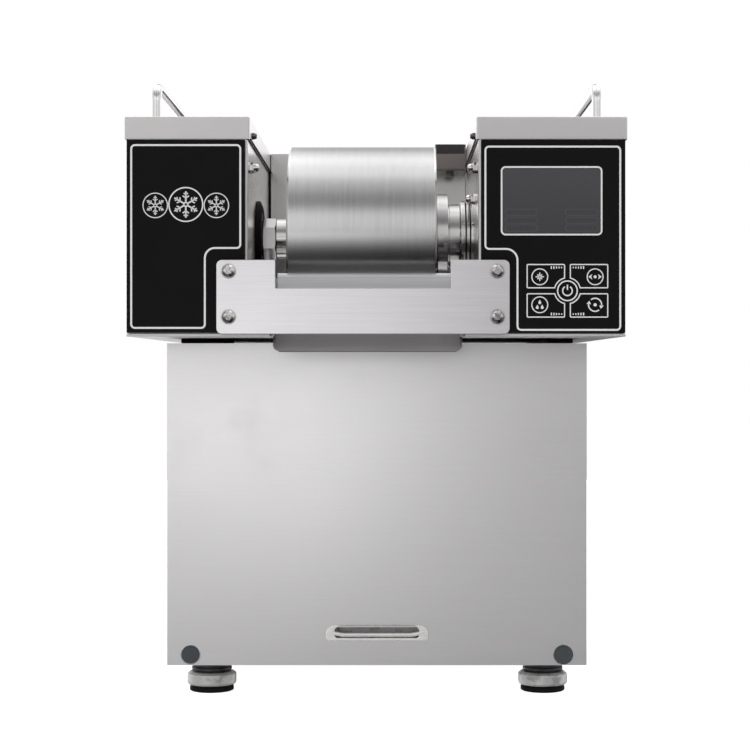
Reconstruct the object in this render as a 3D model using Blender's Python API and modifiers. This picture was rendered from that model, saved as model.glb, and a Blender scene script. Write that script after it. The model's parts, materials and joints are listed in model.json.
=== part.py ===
"""Table-top snow-ice machine: a chilled drum between two housings, on a compressor cabinet.

Run it with: blender --background --python part.py
Metres, +Z up, -Y is the front, +X is to the right seen from the front. The origin lies on
the floor, under the middle of the outline.
"""

import math

import bmesh
import bpy
from mathutils import Matrix, Vector

# ---------------------------------------------------------------- clearances
GAP = 0.0003  # between pieces that touch
RUNNING_GAP = 0.0006  # between a turning piece and the piece that holds it
LID_FIT = 0.0004
KEY_FIT = 0.00035
PANEL_FIT = 0.0006

# ---------------------------------------------------------------- sheet metal
SHEET = 0.0015
LID_SHEET = 0.0012
DECK_SHEET = 0.0025
BEND = 0.002
ARC_STEPS = 4
OVERCUT = 0.002  # how far a cutter runs past the wall that it cuts

# ---------------------------------------------------------------- cabinet
CABINET_WIDTH = 0.380
CABINET_DEPTH = 0.379
CABINET_HEIGHT = 0.2915
OVERHANG = 0.090  # the head's front ahead of the cabinet's front
PANEL_RETURN = 0.013
HINGE_INSET = 0.006  # the panel's hinge line, below its top and behind its face
HINGE_PIN_RADIUS = 0.002
HINGE_LUG_WIDTH = 0.004
HINGE_LUG_RADIUS = 0.004
HINGE_LUG_REACH = 0.026
HINGE_NOSE = (0.8, 0.85)  # the nose's lower and upper rounding, as shares of the lug's radius
BASE_LIP = 0.015
SIDE_VENT_COUNT = 8
SIDE_VENT_LENGTH = 0.110
SIDE_VENT_WIDTH = 0.005
SIDE_VENT_PITCH = 0.014
SIDE_VENT_RISE = 0.045
REAR_VENT_COUNT = 12
REAR_VENT_LENGTH = 0.130
REAR_VENT_WIDTH = 0.006
REAR_VENT_PITCH = 0.014
REAR_VENT_RISE = 0.055

PULL_WIDTH = 0.093
PULL_HEIGHT = 0.0145
PULL_RIM = 0.005
PULL_DEPTH = 0.014
PULL_WALL = 0.0015
PULL_FLARE = 0.5  # the share of a change in width that its height takes
PULL_RISE = 0.0295  # the pull's middle above the panel's lower edge
PULL_PROUD = 0.0012
PULL_END_ROUNDING = 0.96  # of half its height

CAP_RADIUS = 0.0083
CAP_PROUD = 0.003
CAP_STEM_RADIUS = 0.003
CAP_STEM_REACH = 0.004  # behind the panel
CAP_INSET = 0.0213
CAP_RISE = 0.0098

# ---------------------------------------------------------------- feet
FOOT_HEIGHT = 0.0285
FOOT_INSET_SIDE = 0.037
FOOT_INSET_END = 0.038
FOOT_RADIUS = 0.0226
FOOT_PAD_RADIUS = 0.0203
FOOT_PAD_HEIGHT = 0.006
FOOT_CUP_TOP = 0.018
FOOT_COLLAR_RADIUS = 0.0138
FOOT_COLLAR_HEIGHT = 0.008
FOOT_STEM_RADIUS = 0.004
FOOT_STEM_LENGTH = 0.024
FOOT_STEM_FIT = 0.0004
FOOT_EDGE = 0.001
FOOT_SHOULDER = 0.002

# ---------------------------------------------------------------- head
HEAD_WIDTH = 0.4288
HEAD_DEPTH = 0.4367
HEAD_HEIGHT = 0.1864
LEFT_HOUSING_WIDTH = 0.1044
RIGHT_HOUSING_WIDTH = 0.1266
DECK_GAP = 0.0047
CUSHION_WIDTH = 0.022
CUSHION_INSET = 0.011
CUSHION_CORNER = 0.002
LID_DEPTH = 0.0195
LID_BEND = 0.0022

HANDLE_LENGTH = 0.220
HANDLE_RISE = 0.040
HANDLE_RADIUS = 0.0045
HANDLE_BEND = 0.011
HANDLE_INSET = 0.0175
HANDLE_SETBACK = 0.070

FASCIA_THICKNESS = 0.003
FASCIA_INNER_INSET = 0.0024
FASCIA_OUTER_INSET = 0.0006
FASCIA_BOTTOM_RISE = 0.0006
FASCIA_CORNER = 0.0006
FASCIA_TOP_DROP = 0.0202  # below the lid's top

DISPLAY_WIDTH = 0.0857
DISPLAY_HEIGHT = 0.0579
DISPLAY_DROP = 0.0437  # the window's top below the lid's top
DISPLAY_OUTER_INSET = 0.021
DISPLAY_CORNER = 0.0034
DISPLAY_THICKNESS = 0.0018

KEY_RISE = 0.0366  # the keypad's middle above the deck's top
KEY_OUTER_INSET = 0.0503
KEY_HALF_WIDTH = 0.0350
KEY_HALF_HEIGHT = 0.0230
KEY_INNER_X = 0.0020
KEY_INNER_Z = 0.0021
KEY_BITE = 0.0107
KEY_CORNER = 0.0013
KEY_BODY = 0.0021
KEY_PROUD = 0.0002
POWER_KEY_RADIUS = 0.0092

# ---------------------------------------------------------------- drum
DRUM_RADIUS = 0.0841
DRUM_WALL = 0.003
DRUM_SETBACK = 0.035  # the drum's skin behind the fascias' front
DRUM_TRAY_GAP = 0.0031
DRUM_CAP_THICKNESS = 0.006
DRUM_CAP_INSET = 0.0006
DRUM_STEPS = 48
JOURNAL_RADIUS = 0.010
LEFT_COLLAR_RADIUS = 0.0186
LEFT_COLLAR_LENGTH = 0.013
RIGHT_FLANGE_RADIUS = 0.041
RIGHT_FLANGE_THICKNESS = 0.0112
RIGHT_NECK_RADIUS = 0.0317
RIGHT_NECK_LENGTH = 0.0109
NUT_FLATS = 0.033
NUT_LENGTH = 0.0117
BEARING_RADIUS = 0.035
LEFT_BEARING_THICKNESS = 0.0048
RIGHT_BEARING_THICKNESS = 0.0115
BEARING_SPIGOT_RADIUS = 0.024
BEARING_SPIGOT_LENGTH = 0.008
BEARING_GROOVE_DEPTH = 0.002
BEARING_GROOVE_WIDTH = 0.0008
BEARING_CHAMFER = 0.002
ROTARY_JOINT_RADIUS = 0.018
ROTARY_JOINT_LENGTH = 0.036
ROTARY_JOINT_NOSE = 0.004
ROTARY_JOINT_REACH = 0.006  # how far the journal enters it

# ---------------------------------------------------------------- scraper, chute and bracket
BRACKET_OVERLAP = 0.02665  # past the bay, onto each housing's front
BRACKET_SHEET = 0.003
BRACKET_TOP_RISE = 0.063  # above the deck's top
BRACKET_BOTTOM_DROP = 0.0005
BRACKET_CUT_INSET = 0.02385  # from each side of the bay
BRACKET_CUT_RISE = 0.0386
BRACKET_CORNER = 0.005
BRACKET_STEP_CORNER = 0.0005
SCREW_END_INSET = 0.0106
SCREW_TOP_INSET = 0.0096
SCREW_BOTTOM_INSET = 0.0148
SCREW_RADIUS = 0.003
SCREW_FIT = 0.0003
SCREW_HEAD_RADIUS = 0.0064
SCREW_HEAD_HEIGHT = 0.004
SCREW_WASHER_RADIUS = 0.0062
SCREW_WASHER_HEIGHT = 0.0012
SCREW_LENGTH = 0.014
SCREW_RECESS_WIDTH = 0.0014
SCREW_RECESS_LENGTH = 0.0065
SCREW_RECESS_DEPTH = 0.0018

BLADE_CONTACT_ANGLE = math.radians(24.6)  # below the axis, on the drum's front
BLADE_GAP = 0.0008
BLADE_HEIGHT = 0.026
BLADE_THICKNESS = 0.0025
BLADE_BEVEL = 0.005
CHUTE_SLOPE = math.radians(66)
CHUTE_SHEET = 0.002
CHUTE_TIP_DROP = 0.0153  # the lip's lower edge below the deck's top
CHUTE_CORNER = 0.005
CHUTE_LEFT_OVERLAP = 0.003  # past the bracket's cut-out
CHUTE_RIGHT_OVERLAP = 0.0105
CHUTE_CHEEK_GAP = 0.0004
CHUTE_CHEEK_DROP = 0.012  # its top below the bracket's top
CHUTE_RELIEF = 0.002  # the deck's clearance round the chute

# ---------------------------------------------------------------- liquid system
BACK_PLATE_SETBACK = 0.272
BACK_PLATE_TOP_DROP = 0.0014
TRAY_HEIGHT = 0.0345
TRAY_DRUM_CLEARANCE = 0.0025  # between the pan's front rim and the drum
TRAY_REAR_CLEARANCE = 0.010
TRAY_SIDE_CLEARANCE = 0.006
TRAY_CORNER = 0.006
NOZZLE_WIDTH = 0.030
NOZZLE_DEPTH = 0.045
NOZZLE_HEIGHT = 0.026
NOZZLE_TOP_RISE = 0.0034  # above the lids
NOZZLE_CORNER = 0.004
NOZZLE_SPOUT_RADIUS = 0.004
NOZZLE_SPOUT_LENGTH = 0.005
SADDLE_HEIGHT = 0.0032
SADDLE_REACH = 0.030
SADDLE_STEP = 0.0002  # the saddle's top below the block's
DIP_TUBE_RADIUS = 0.004
DIP_TUBE_RISE = 0.006  # its mouth above the tank's floor
TANK_WALL = 0.0025
TANK_GAP = 0.006
TANK_REAR_GAP = 0.008
TANK_TOP_DROP = 0.0196
TANK_CORNER = 0.008
TANK_LID_THICKNESS = 0.003
TANK_KNOB_RADIUS = 0.009
TANK_KNOB_HEIGHT = 0.013
TANK_NOTCH_MARGIN = 0.004
TANK_NOTCH_CORNER = 0.002
TANK_KNOB_EDGE = 0.002
TANK_KNOB_RIM = 0.005  # the height of the knob's rim
TANK_KNOB_NECK = 0.55  # of its radius

# ---------------------------------------------------------------- machinery
GEARBOX_WIDTH = 0.056
GEARBOX_DEPTH = 0.096
GEARBOX_HEIGHT = 0.096
GEARBOX_GAP = 0.0003  # behind the right bearing's spigot
GEARBOX_BORE_DEPTH = 0.028
GEARBOX_CORNER = 0.008
DRIVE_MOTOR_RADIUS = 0.036
DRIVE_MOTOR_LENGTH = 0.140
DRIVE_MOTOR_INSET = 0.002  # its side in from the gearbox's
BOARD_WIDTH = 0.076
BOARD_HEIGHT = 0.058
BOARD_SHEET = 0.0016
BOARD_GAP = 0.006
BOARD_CHIP = 0.012
BOARD_RISE = 0.004  # its middle above the keypad's
COMPRESSOR_RADIUS = 0.066
COMPRESSOR_HEIGHT = 0.165
COMPRESSOR_RISE = 0.004
COMPRESSOR_FOOT_RADIUS = 0.074
COMPRESSOR_FOOT_HEIGHT = 0.004
CONDENSER_WIDTH = 0.150
CONDENSER_HEIGHT = 0.190
CONDENSER_DEPTH = 0.036
CONDENSER_SIDE_GAP = 0.016
CONDENSER_REAR_GAP = 0.008
CONDENSER_RISE = 0.026
CONDENSER_FINS = 12
FIN_SHEET = 0.0016
SPINE_SHEET = 0.004
FAN_RADIUS = 0.060
FAN_TIP_GAP = 0.004
FAN_FRAME_MARGIN = 0.006
FAN_FRAME_CORNER = 0.006
FAN_TIP_TRIM = 0.002
FAN_FRAME_DEPTH = 0.020
FAN_FRAME_GAP = 0.002
FAN_HUB_RADIUS = 0.019
FAN_HUB_DEPTH = 0.014
FAN_PLATE = 0.003
FAN_STRUT = 0.005
FAN_BLADES = 5
FAN_BLADE_WIDTH = 0.026
FAN_BLADE_THICKNESS = 0.002
FAN_BLADE_PITCH = math.radians(28)
PIPE_RADIUS = 0.0045
PIPE_BEND = 0.018
PIPE_HOLE_FIT = 0.002
PIPE_RUN_DROP = 0.035  # the suction pipe's level run below the cabinet's top
PIPE_INLET_DROP = 0.012  # the condenser's inlet below its top
PIPE_SPREAD = 0.45  # of the compressor's radius, from its middle to each stub
PIPE_SEAT = 0.03  # of the compressor's radius, sunk below its crown
INLET_WIDTH = 0.048
INLET_HEIGHT = 0.028
INLET_FLANGE = 0.005
INLET_PROUD = 0.002
INLET_DEPTH = 0.020
INLET_MOUTH_WIDTH = 0.025
INLET_MOUTH_HEIGHT = 0.017
INLET_RISE = 0.040
INLET_INSET = 0.055
INLET_CORNER = 0.003

# ---------------------------------------------------------------- places that follow
SCREW_STANDOUT = GAP * 2 + BRACKET_SHEET + SCREW_WASHER_HEIGHT + SCREW_HEAD_HEIGHT
FRONT_Y = -(OVERHANG + CABINET_DEPTH + INLET_PROUD - SCREW_STANDOUT) / 2
CABINET_FRONT_Y = FRONT_Y + OVERHANG
CABINET_REAR_Y = CABINET_FRONT_Y + CABINET_DEPTH
REAR_PANEL_Y = CABINET_REAR_Y - SHEET
HALF_CABINET = CABINET_WIDTH / 2
CABINET_BOTTOM = FOOT_HEIGHT
CABINET_TOP = CABINET_BOTTOM + CABINET_HEIGHT
HINGE_Y = CABINET_FRONT_Y + HINGE_INSET
HINGE_Z = CABINET_TOP - HINGE_INSET
SHELL_FRONT_Y = CABINET_FRONT_Y + PANEL_RETURN + PANEL_FIT

DECK_BOTTOM = CABINET_TOP + DECK_GAP
DECK_TOP = DECK_BOTTOM + DECK_SHEET
HEAD_TOP = DECK_TOP + HEAD_HEIGHT
HOUSING_FRONT_Y = FRONT_Y + FASCIA_THICKNESS + GAP
HOUSING_REAR_Y = HOUSING_FRONT_Y + HEAD_DEPTH
HOUSING_BOTTOM = DECK_TOP + GAP
HOUSING_TOP = HEAD_TOP - LID_SHEET - LID_FIT
HALF_HEAD = HEAD_WIDTH / 2
BAY_LEFT = -HALF_HEAD + LEFT_HOUSING_WIDTH
BAY_RIGHT = HALF_HEAD - RIGHT_HOUSING_WIDTH
BAY_MIDDLE = (BAY_LEFT + BAY_RIGHT) / 2

LEFT_BEARING_FACE = BAY_LEFT + GAP + LEFT_BEARING_THICKNESS
NUT_LEFT = LEFT_BEARING_FACE + RUNNING_GAP
NUT_RIGHT = NUT_LEFT + NUT_LENGTH
DRUM_LEFT = NUT_RIGHT + GAP + LEFT_COLLAR_LENGTH
RIGHT_BEARING_FACE = BAY_RIGHT - GAP - RIGHT_BEARING_THICKNESS
RIGHT_NECK_END = RIGHT_BEARING_FACE - RUNNING_GAP
DRUM_RIGHT = RIGHT_NECK_END - RIGHT_NECK_LENGTH - RIGHT_FLANGE_THICKNESS
DRUM_LENGTH = DRUM_RIGHT - DRUM_LEFT
DRUM_Y = FRONT_Y + DRUM_SETBACK + DRUM_RADIUS
DRUM_Z = DECK_TOP + GAP + SHEET + DRUM_TRAY_GAP + DRUM_RADIUS
TRAY_RIM_Z = DECK_TOP + GAP + TRAY_HEIGHT
TRAY_RIM_REACH = math.sqrt(
    (DRUM_RADIUS + TRAY_DRUM_CLEARANCE) ** 2 - (DRUM_Z - TRAY_RIM_Z) ** 2
)
TRAY_FRONT_Y = DRUM_Y - TRAY_RIM_REACH - SHEET
LEFT_SPIGOT_END = BAY_LEFT - SHEET - BEARING_SPIGOT_LENGTH
RIGHT_SPIGOT_END = BAY_RIGHT + SHEET + BEARING_SPIGOT_LENGTH
GEARBOX_LEFT = RIGHT_SPIGOT_END + GEARBOX_GAP
JOURNAL_LEFT_END = LEFT_SPIGOT_END - GAP - ROTARY_JOINT_REACH
JOURNAL_RIGHT_END = GEARBOX_LEFT + GEARBOX_BORE_DEPTH - RUNNING_GAP

BRACKET_BACK_Y = FRONT_Y - GAP
BRACKET_FRONT_Y = BRACKET_BACK_Y - BRACKET_SHEET
BRACKET_LEFT = BAY_LEFT - BRACKET_OVERLAP
BRACKET_RIGHT = BAY_RIGHT + BRACKET_OVERLAP
BRACKET_TOP = DECK_TOP + BRACKET_TOP_RISE
BRACKET_BOTTOM = DECK_TOP - BRACKET_BOTTOM_DROP
CUT_LEFT = BAY_LEFT + BRACKET_CUT_INSET
CUT_RIGHT = BAY_RIGHT - BRACKET_CUT_INSET
SCREW_XS = (BRACKET_LEFT + SCREW_END_INSET, BRACKET_RIGHT - SCREW_END_INSET)
SCREW_ZS = (BRACKET_BOTTOM + SCREW_BOTTOM_INSET, BRACKET_TOP - SCREW_TOP_INSET)
SCREW_HOLE_RADIUS = SCREW_RADIUS + SCREW_FIT

# The chute slopes down and forward from the blade's edge, which stands at the drum's skin.
BLADE_EDGE_Y = DRUM_Y - (DRUM_RADIUS + BLADE_GAP) * math.cos(BLADE_CONTACT_ANGLE)
BLADE_EDGE_Z = DRUM_Z - (DRUM_RADIUS + BLADE_GAP) * math.sin(BLADE_CONTACT_ANGLE)
CHUTE_LEFT = CUT_LEFT - CHUTE_LEFT_OVERLAP
CHUTE_RIGHT = CUT_RIGHT + CHUTE_RIGHT_OVERLAP
CHUTE_TIP_Z = DECK_TOP - CHUTE_TIP_DROP
CHUTE_LENGTH = (BLADE_EDGE_Z - BLADE_BEVEL - CHUTE_TIP_Z) / math.sin(CHUTE_SLOPE)

BACK_PLATE_Y = FRONT_Y + BACK_PLATE_SETBACK
BACK_PLATE_TOP = HEAD_TOP - BACK_PLATE_TOP_DROP
TANK_LEFT = BAY_LEFT + TANK_GAP
TANK_RIGHT = BAY_RIGHT - TANK_GAP
TANK_FRONT_Y = BACK_PLATE_Y + SHEET + TANK_GAP
TANK_REAR_Y = HOUSING_REAR_Y - TANK_REAR_GAP
TANK_TOP = HEAD_TOP - TANK_TOP_DROP
NOZZLE_TOP = HEAD_TOP + NOZZLE_TOP_RISE
NOZZLE_RIGHT = BAY_RIGHT - LID_FIT - LID_SHEET - GAP
NOZZLE_LEFT = NOZZLE_RIGHT - NOZZLE_WIDTH
DIP_TUBE_Y = BACK_PLATE_Y + SHEET + SADDLE_REACH - 2 * DIP_TUBE_RADIUS

DISPLAY_RIGHT = HALF_HEAD - DISPLAY_OUTER_INSET
DISPLAY_TOP = HEAD_TOP - DISPLAY_DROP
KEYPAD_X = HALF_HEAD - KEY_OUTER_INSET
KEYPAD_Z = DECK_TOP + KEY_RISE

FOOT_XS = (-HALF_CABINET + FOOT_INSET_SIDE, HALF_CABINET - FOOT_INSET_SIDE)
FOOT_YS = (CABINET_FRONT_Y + FOOT_INSET_END, CABINET_REAR_Y - FOOT_INSET_END)
FLOOR_TOP = CABINET_BOTTOM + SHEET  # the upper side of the cabinet's bottom sheet
SIDE_VENT_Y = (CABINET_FRONT_Y + CABINET_REAR_Y) / 2
CONDENSER_RIGHT = HALF_CABINET - CONDENSER_SIDE_GAP
CONDENSER_LEFT = CONDENSER_RIGHT - CONDENSER_WIDTH
CONDENSER_REAR_Y = REAR_PANEL_Y - CONDENSER_REAR_GAP
CONDENSER_FRONT_Y = CONDENSER_REAR_Y - CONDENSER_DEPTH
CONDENSER_BOTTOM = FLOOR_TOP + CONDENSER_RISE
FAN_X = (CONDENSER_LEFT + CONDENSER_RIGHT) / 2
FAN_Z = CONDENSER_BOTTOM + CONDENSER_HEIGHT / 2
FAN_REAR_Y = CONDENSER_FRONT_Y - FAN_FRAME_GAP
FAN_FRONT_Y = FAN_REAR_Y - FAN_FRAME_DEPTH
FAN_HALF_FRAME = FAN_RADIUS + FAN_TIP_GAP + FAN_FRAME_MARGIN
COMPRESSOR_X = (CONDENSER_LEFT - HALF_CABINET) / 2
COMPRESSOR_Y = (CABINET_FRONT_Y + CABINET_REAR_Y) / 2
COMPRESSOR_BOTTOM = FLOOR_TOP + COMPRESSOR_RISE
INLET_X = -HALF_CABINET + INLET_INSET
INLET_Z = CABINET_BOTTOM + INLET_RISE
PIPE_X = LEFT_SPIGOT_END - GAP - ROTARY_JOINT_LENGTH / 2
PIPE_HOLE_RADIUS = PIPE_RADIUS + PIPE_HOLE_FIT

# ---------------------------------------------------------------- collections and materials
for leftover in list(bpy.data.objects):
    bpy.data.objects.remove(leftover)

PARTS = bpy.data.collections.new("snow_ice_machine")
CUTTERS = bpy.data.collections.new("cutters")
for made_collection in (PARTS, CUTTERS):
    bpy.context.scene.collection.children.link(made_collection)


def finish(name, colour, roughness, metallic):
    """A Principled material of one colour."""
    material = bpy.data.materials.new(name)
    material.use_nodes = True
    shader = material.node_tree.nodes["Principled BSDF"]
    shader.inputs["Base Color"].default_value = (*colour, 1.0)
    shader.inputs["Roughness"].default_value = roughness
    shader.inputs["Metallic"].default_value = metallic
    material.diffuse_color = (*colour, 1.0)
    return material


BRUSHED = finish("brushed_steel", (0.74, 0.73, 0.73), 0.34, 1.0)
POLISHED = finish("polished_steel", (0.82, 0.82, 0.82), 0.14, 1.0)
DULL = finish("dull_steel", (0.50, 0.50, 0.50), 0.45, 1.0)
COPPER = finish("copper", (0.72, 0.38, 0.24), 0.30, 1.0)
ALUMINIUM = finish("aluminium", (0.66, 0.67, 0.68), 0.40, 1.0)
BLACK_GLOSS = finish("black_acrylic", (0.012, 0.012, 0.013), 0.18, 0.0)
SCREEN = finish("display_glass", (0.06, 0.06, 0.07), 0.10, 0.0)
RUBBER = finish("black_rubber", (0.02, 0.02, 0.02), 0.70, 0.0)
BLACK_PLASTIC = finish("black_plastic", (0.03, 0.03, 0.03), 0.45, 0.0)
GREY_PLASTIC = finish("grey_plastic", (0.12, 0.13, 0.14), 0.50, 0.0)
SMOKED = finish("smoked_plastic", (0.07, 0.06, 0.055), 0.20, 0.0)
TANK_PLASTIC = finish("tank_plastic", (0.80, 0.82, 0.83), 0.35, 0.0)
BLACK_PAINT = finish("black_paint", (0.03, 0.03, 0.032), 0.40, 0.0)
GEAR_PAINT = finish("grey_paint", (0.25, 0.26, 0.27), 0.45, 0.0)
BOARD = finish("circuit_board", (0.03, 0.16, 0.08), 0.45, 0.0)


# ---------------------------------------------------------------- outlines
def fillet(points, radii, closed=True, steps=ARC_STEPS):
    """The line through points with each corner rounded to its radius, in two or three axes."""
    found = []
    count = len(points)
    points = [Vector(point) for point in points]
    for i, (here, radius) in enumerate(zip(points, radii)):
        end_of_line = not closed and i in (0, count - 1)
        if radius <= 0 or end_of_line:
            found.append(here)
            continue
        back = (points[i - 1] - here).normalized()
        ahead = (points[(i + 1) % count] - here).normalized()
        half = back.angle(ahead) / 2
        centre = here + (back + ahead).normalized() * (radius / math.sin(half))
        first = here + back * (radius / math.tan(half)) - centre
        last = here + ahead * (radius / math.tan(half)) - centre
        sweep = first.angle(last)
        for k in range(steps + 1):
            share = k / steps
            turn = first * math.sin((1 - share) * sweep) + last * math.sin(share * sweep)
            found.append(centre + turn / math.sin(sweep))
    return found


def rectangle(left, right, bottom, top, corner=0.0, steps=ARC_STEPS):
    """A rectangle's outline, with round corners if asked for."""
    corners = [(left, bottom), (right, bottom), (right, top), (left, top)]
    return fillet(corners, [corner] * 4, steps=steps)


def circle(u, v, radius, steps=32):
    """A circle's outline."""
    return [
        Vector((u + radius * math.cos(a), v + radius * math.sin(a)))
        for a in (2 * math.pi * k / steps for k in range(steps))
    ]


# ---------------------------------------------------------------- modelling helpers
def put(obj, material=None):
    """Adds an object to the machine."""
    PARTS.objects.link(obj)
    if material and obj.data and not obj.data.materials:
        obj.data.materials.append(material)
    return obj


def as_cutter(obj):
    """Makes a solid a helper that is never shown."""
    for collection in list(obj.users_collection):
        collection.objects.unlink(obj)
    CUTTERS.objects.link(obj)
    obj.hide_render = True
    obj.display_type = "WIRE"
    return obj


def evaluated_mesh(obj):
    """A closed mesh of the object with its modifiers applied, facing outwards."""
    bpy.context.view_layer.update()
    graph = bpy.context.evaluated_depsgraph_get()
    mesh = bpy.data.meshes.new_from_object(obj.evaluated_get(graph))
    shape = bmesh.new()
    shape.from_mesh(mesh)
    bmesh.ops.remove_doubles(shape, verts=shape.verts, dist=1e-6)
    bmesh.ops.recalc_face_normals(shape, faces=shape.faces)
    shape.to_mesh(mesh)
    shape.free()
    return mesh


def as_mesh(obj, material=None):
    """Replaces a curve, or an object with modifiers, by the mesh that it makes."""
    mesh = evaluated_mesh(obj)
    name, matrix = obj.name, obj.matrix_world.copy()
    bpy.data.objects.remove(obj)
    made = bpy.data.objects.new(name, mesh)
    made.matrix_world = matrix
    return put(made, material)


def round_shading(obj, angle=35):
    """Smooth shading that keeps the sharp edges."""
    obj.data.shade_smooth()
    obj.data.set_sharp_from_angle(angle=math.radians(angle))
    return obj


def section(name, outlines, axis, low, high, material):
    """A flat outline, with any holes in it, extruded along an axis from low to high.

    The outlines are in the plane of the other two axes: YZ for X, XZ for Y and XY for Z.
    """
    curve = bpy.data.curves.new(name, "CURVE")
    curve.dimensions = "2D"
    curve.fill_mode = "BOTH"
    curve.extrude = (high - low) / 2
    for outline in outlines:
        spline = curve.splines.new("POLY")
        spline.points.add(len(outline) - 1)
        for point, (u, v) in zip(spline.points, outline):
            point.co = (u, v, 0, 1)
        spline.use_cyclic_u = True
    obj = put(bpy.data.objects.new(name, curve))
    middle = (low + high) / 2
    if axis == "X":
        obj.rotation_euler = (math.pi / 2, 0, math.pi / 2)
        obj.location = (middle, 0, 0)
    elif axis == "Y":
        obj.rotation_euler = (math.pi / 2, 0, 0)
        obj.location = (0, middle, 0)
    else:
        obj.location = (0, 0, middle)
    return as_mesh(obj, material)


def box(name, low, high, material=None):
    """A plain box between two corners."""
    low, high = Vector(low), Vector(high)
    shape = bmesh.new()
    bmesh.ops.create_cube(shape, size=1.0)
    bmesh.ops.scale(shape, vec=high - low, verts=shape.verts)
    mesh = bpy.data.meshes.new(name)
    shape.to_mesh(mesh)
    shape.free()
    obj = bpy.data.objects.new(name, mesh)
    obj.location = (low + high) / 2
    return put(obj, material)


def open_box(name, low, high, thickness, material, open_sides, corner=0.0):
    """A box of sheet whose low and high corners are its outer ones, without its open sides."""
    obj = box(name, low, high, material)
    shape = bmesh.new()
    shape.from_mesh(obj.data)
    doomed = [
        face
        for face in shape.faces
        if any(face.normal.dot(Vector(side)) > 0.9 for side in open_sides)
    ]
    bmesh.ops.delete(shape, geom=doomed, context="FACES")
    shape.to_mesh(obj.data)
    shape.free()
    if corner > 0:
        bend = obj.modifiers.new("bend", "BEVEL")
        bend.width = corner
        bend.segments = 3
        bend.limit_method = "ANGLE"
    wall = obj.modifiers.new("wall", "SOLIDIFY")
    wall.thickness = thickness
    wall.offset = -1.0
    wall.use_even_offset = True
    return obj


def cylinder(name, axis, centre, radius, length, material=None, steps=32):
    """A cylinder about an axis; centre is the middle of its length."""
    shape = bmesh.new()
    bmesh.ops.create_cone(
        shape, cap_ends=True, segments=steps, radius1=radius, radius2=radius, depth=length
    )
    mesh = bpy.data.meshes.new(name)
    shape.to_mesh(mesh)
    shape.free()
    obj = bpy.data.objects.new(name, mesh)
    if axis == "X":
        obj.rotation_euler = (0, math.pi / 2, 0)
    elif axis == "Y":
        obj.rotation_euler = (-math.pi / 2, 0, 0)
    obj.location = centre
    return put(obj, material)


def turned(name, profile, axis, centre, material, steps=32):
    """A turned solid. profile holds (radius, height) down the outer side, top to bottom.

    One that starts and ends on the axis is solid, and any other is closed round its bore.
    """
    mesh = bpy.data.meshes.new(name)
    links = [(i, i + 1) for i in range(len(profile) - 1)]
    if profile[0][0] > 0:
        links.append((len(profile) - 1, 0))
    mesh.from_pydata([(radius, 0, height) for radius, height in profile], links, [])
    obj = bpy.data.objects.new(name, mesh)
    if axis == "X":
        obj.rotation_euler = (0, math.pi / 2, 0)
    elif axis == "Y":
        obj.rotation_euler = (-math.pi / 2, 0, 0)
    obj.location = centre
    put(obj, material)
    turn = obj.modifiers.new("turn", "SCREW")
    turn.axis = "Z"
    turn.steps = steps
    turn.render_steps = steps
    turn.use_merge_vertices = True
    turn.merge_threshold = 0.00002
    return round_shading(as_mesh(obj, material))


def tube(name, points, radius, material, resolution=2):
    """A round bar or pipe along points."""
    curve = bpy.data.curves.new(name, "CURVE")
    curve.dimensions = "3D"
    curve.bevel_depth = radius
    curve.bevel_resolution = resolution
    curve.use_fill_caps = True
    spline = curve.splines.new("POLY")
    spline.points.add(len(points) - 1)
    for point, place in zip(spline.points, points):
        point.co = (*place, 1)
    obj = put(bpy.data.objects.new(name, curve))
    return round_shading(as_mesh(obj, material), 50)


def boolean(obj, other, operation):
    """Cuts or joins an object with a helper."""
    step = obj.modifiers.new(operation.lower(), "BOOLEAN")
    step.operation = operation
    step.solver = "EXACT"
    step.object = as_cutter(other)
    return obj


def cut(obj, *others):
    """Takes helpers out of an object."""
    for other in others:
        boolean(obj, other, "DIFFERENCE")
    return obj


def join(obj, *others):
    """Adds helpers to an object."""
    for other in others:
        boolean(obj, other, "UNION")
    return obj


def joint(name, place):
    """An empty on a joint's axis."""
    empty = bpy.data.objects.new(name, None)
    empty.empty_display_size = 0.02
    empty.location = place
    return put(empty)


def hang(empty, *objects):
    """Parents objects to a joint's empty, leaving them where they stand."""
    for obj in objects:
        obj.parent = empty
        obj.matrix_parent_inverse = Matrix.Translation(-Vector(empty.location))


# ---------------------------------------------------------------- cabinet
def side_vents(name, x, low, high):
    """The cutters of one side wall's louvre slots, as one comb of separate bars."""
    cutters = []
    for k in range(SIDE_VENT_COUNT):
        z = CABINET_BOTTOM + SIDE_VENT_RISE + k * SIDE_VENT_PITCH
        outline = rectangle(
            SIDE_VENT_Y - SIDE_VENT_LENGTH / 2,
            SIDE_VENT_Y + SIDE_VENT_LENGTH / 2,
            z,
            z + SIDE_VENT_WIDTH,
        )
        cutters.append(outline)
    return section(name, cutters, "X", x + low, x + high, None)


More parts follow.
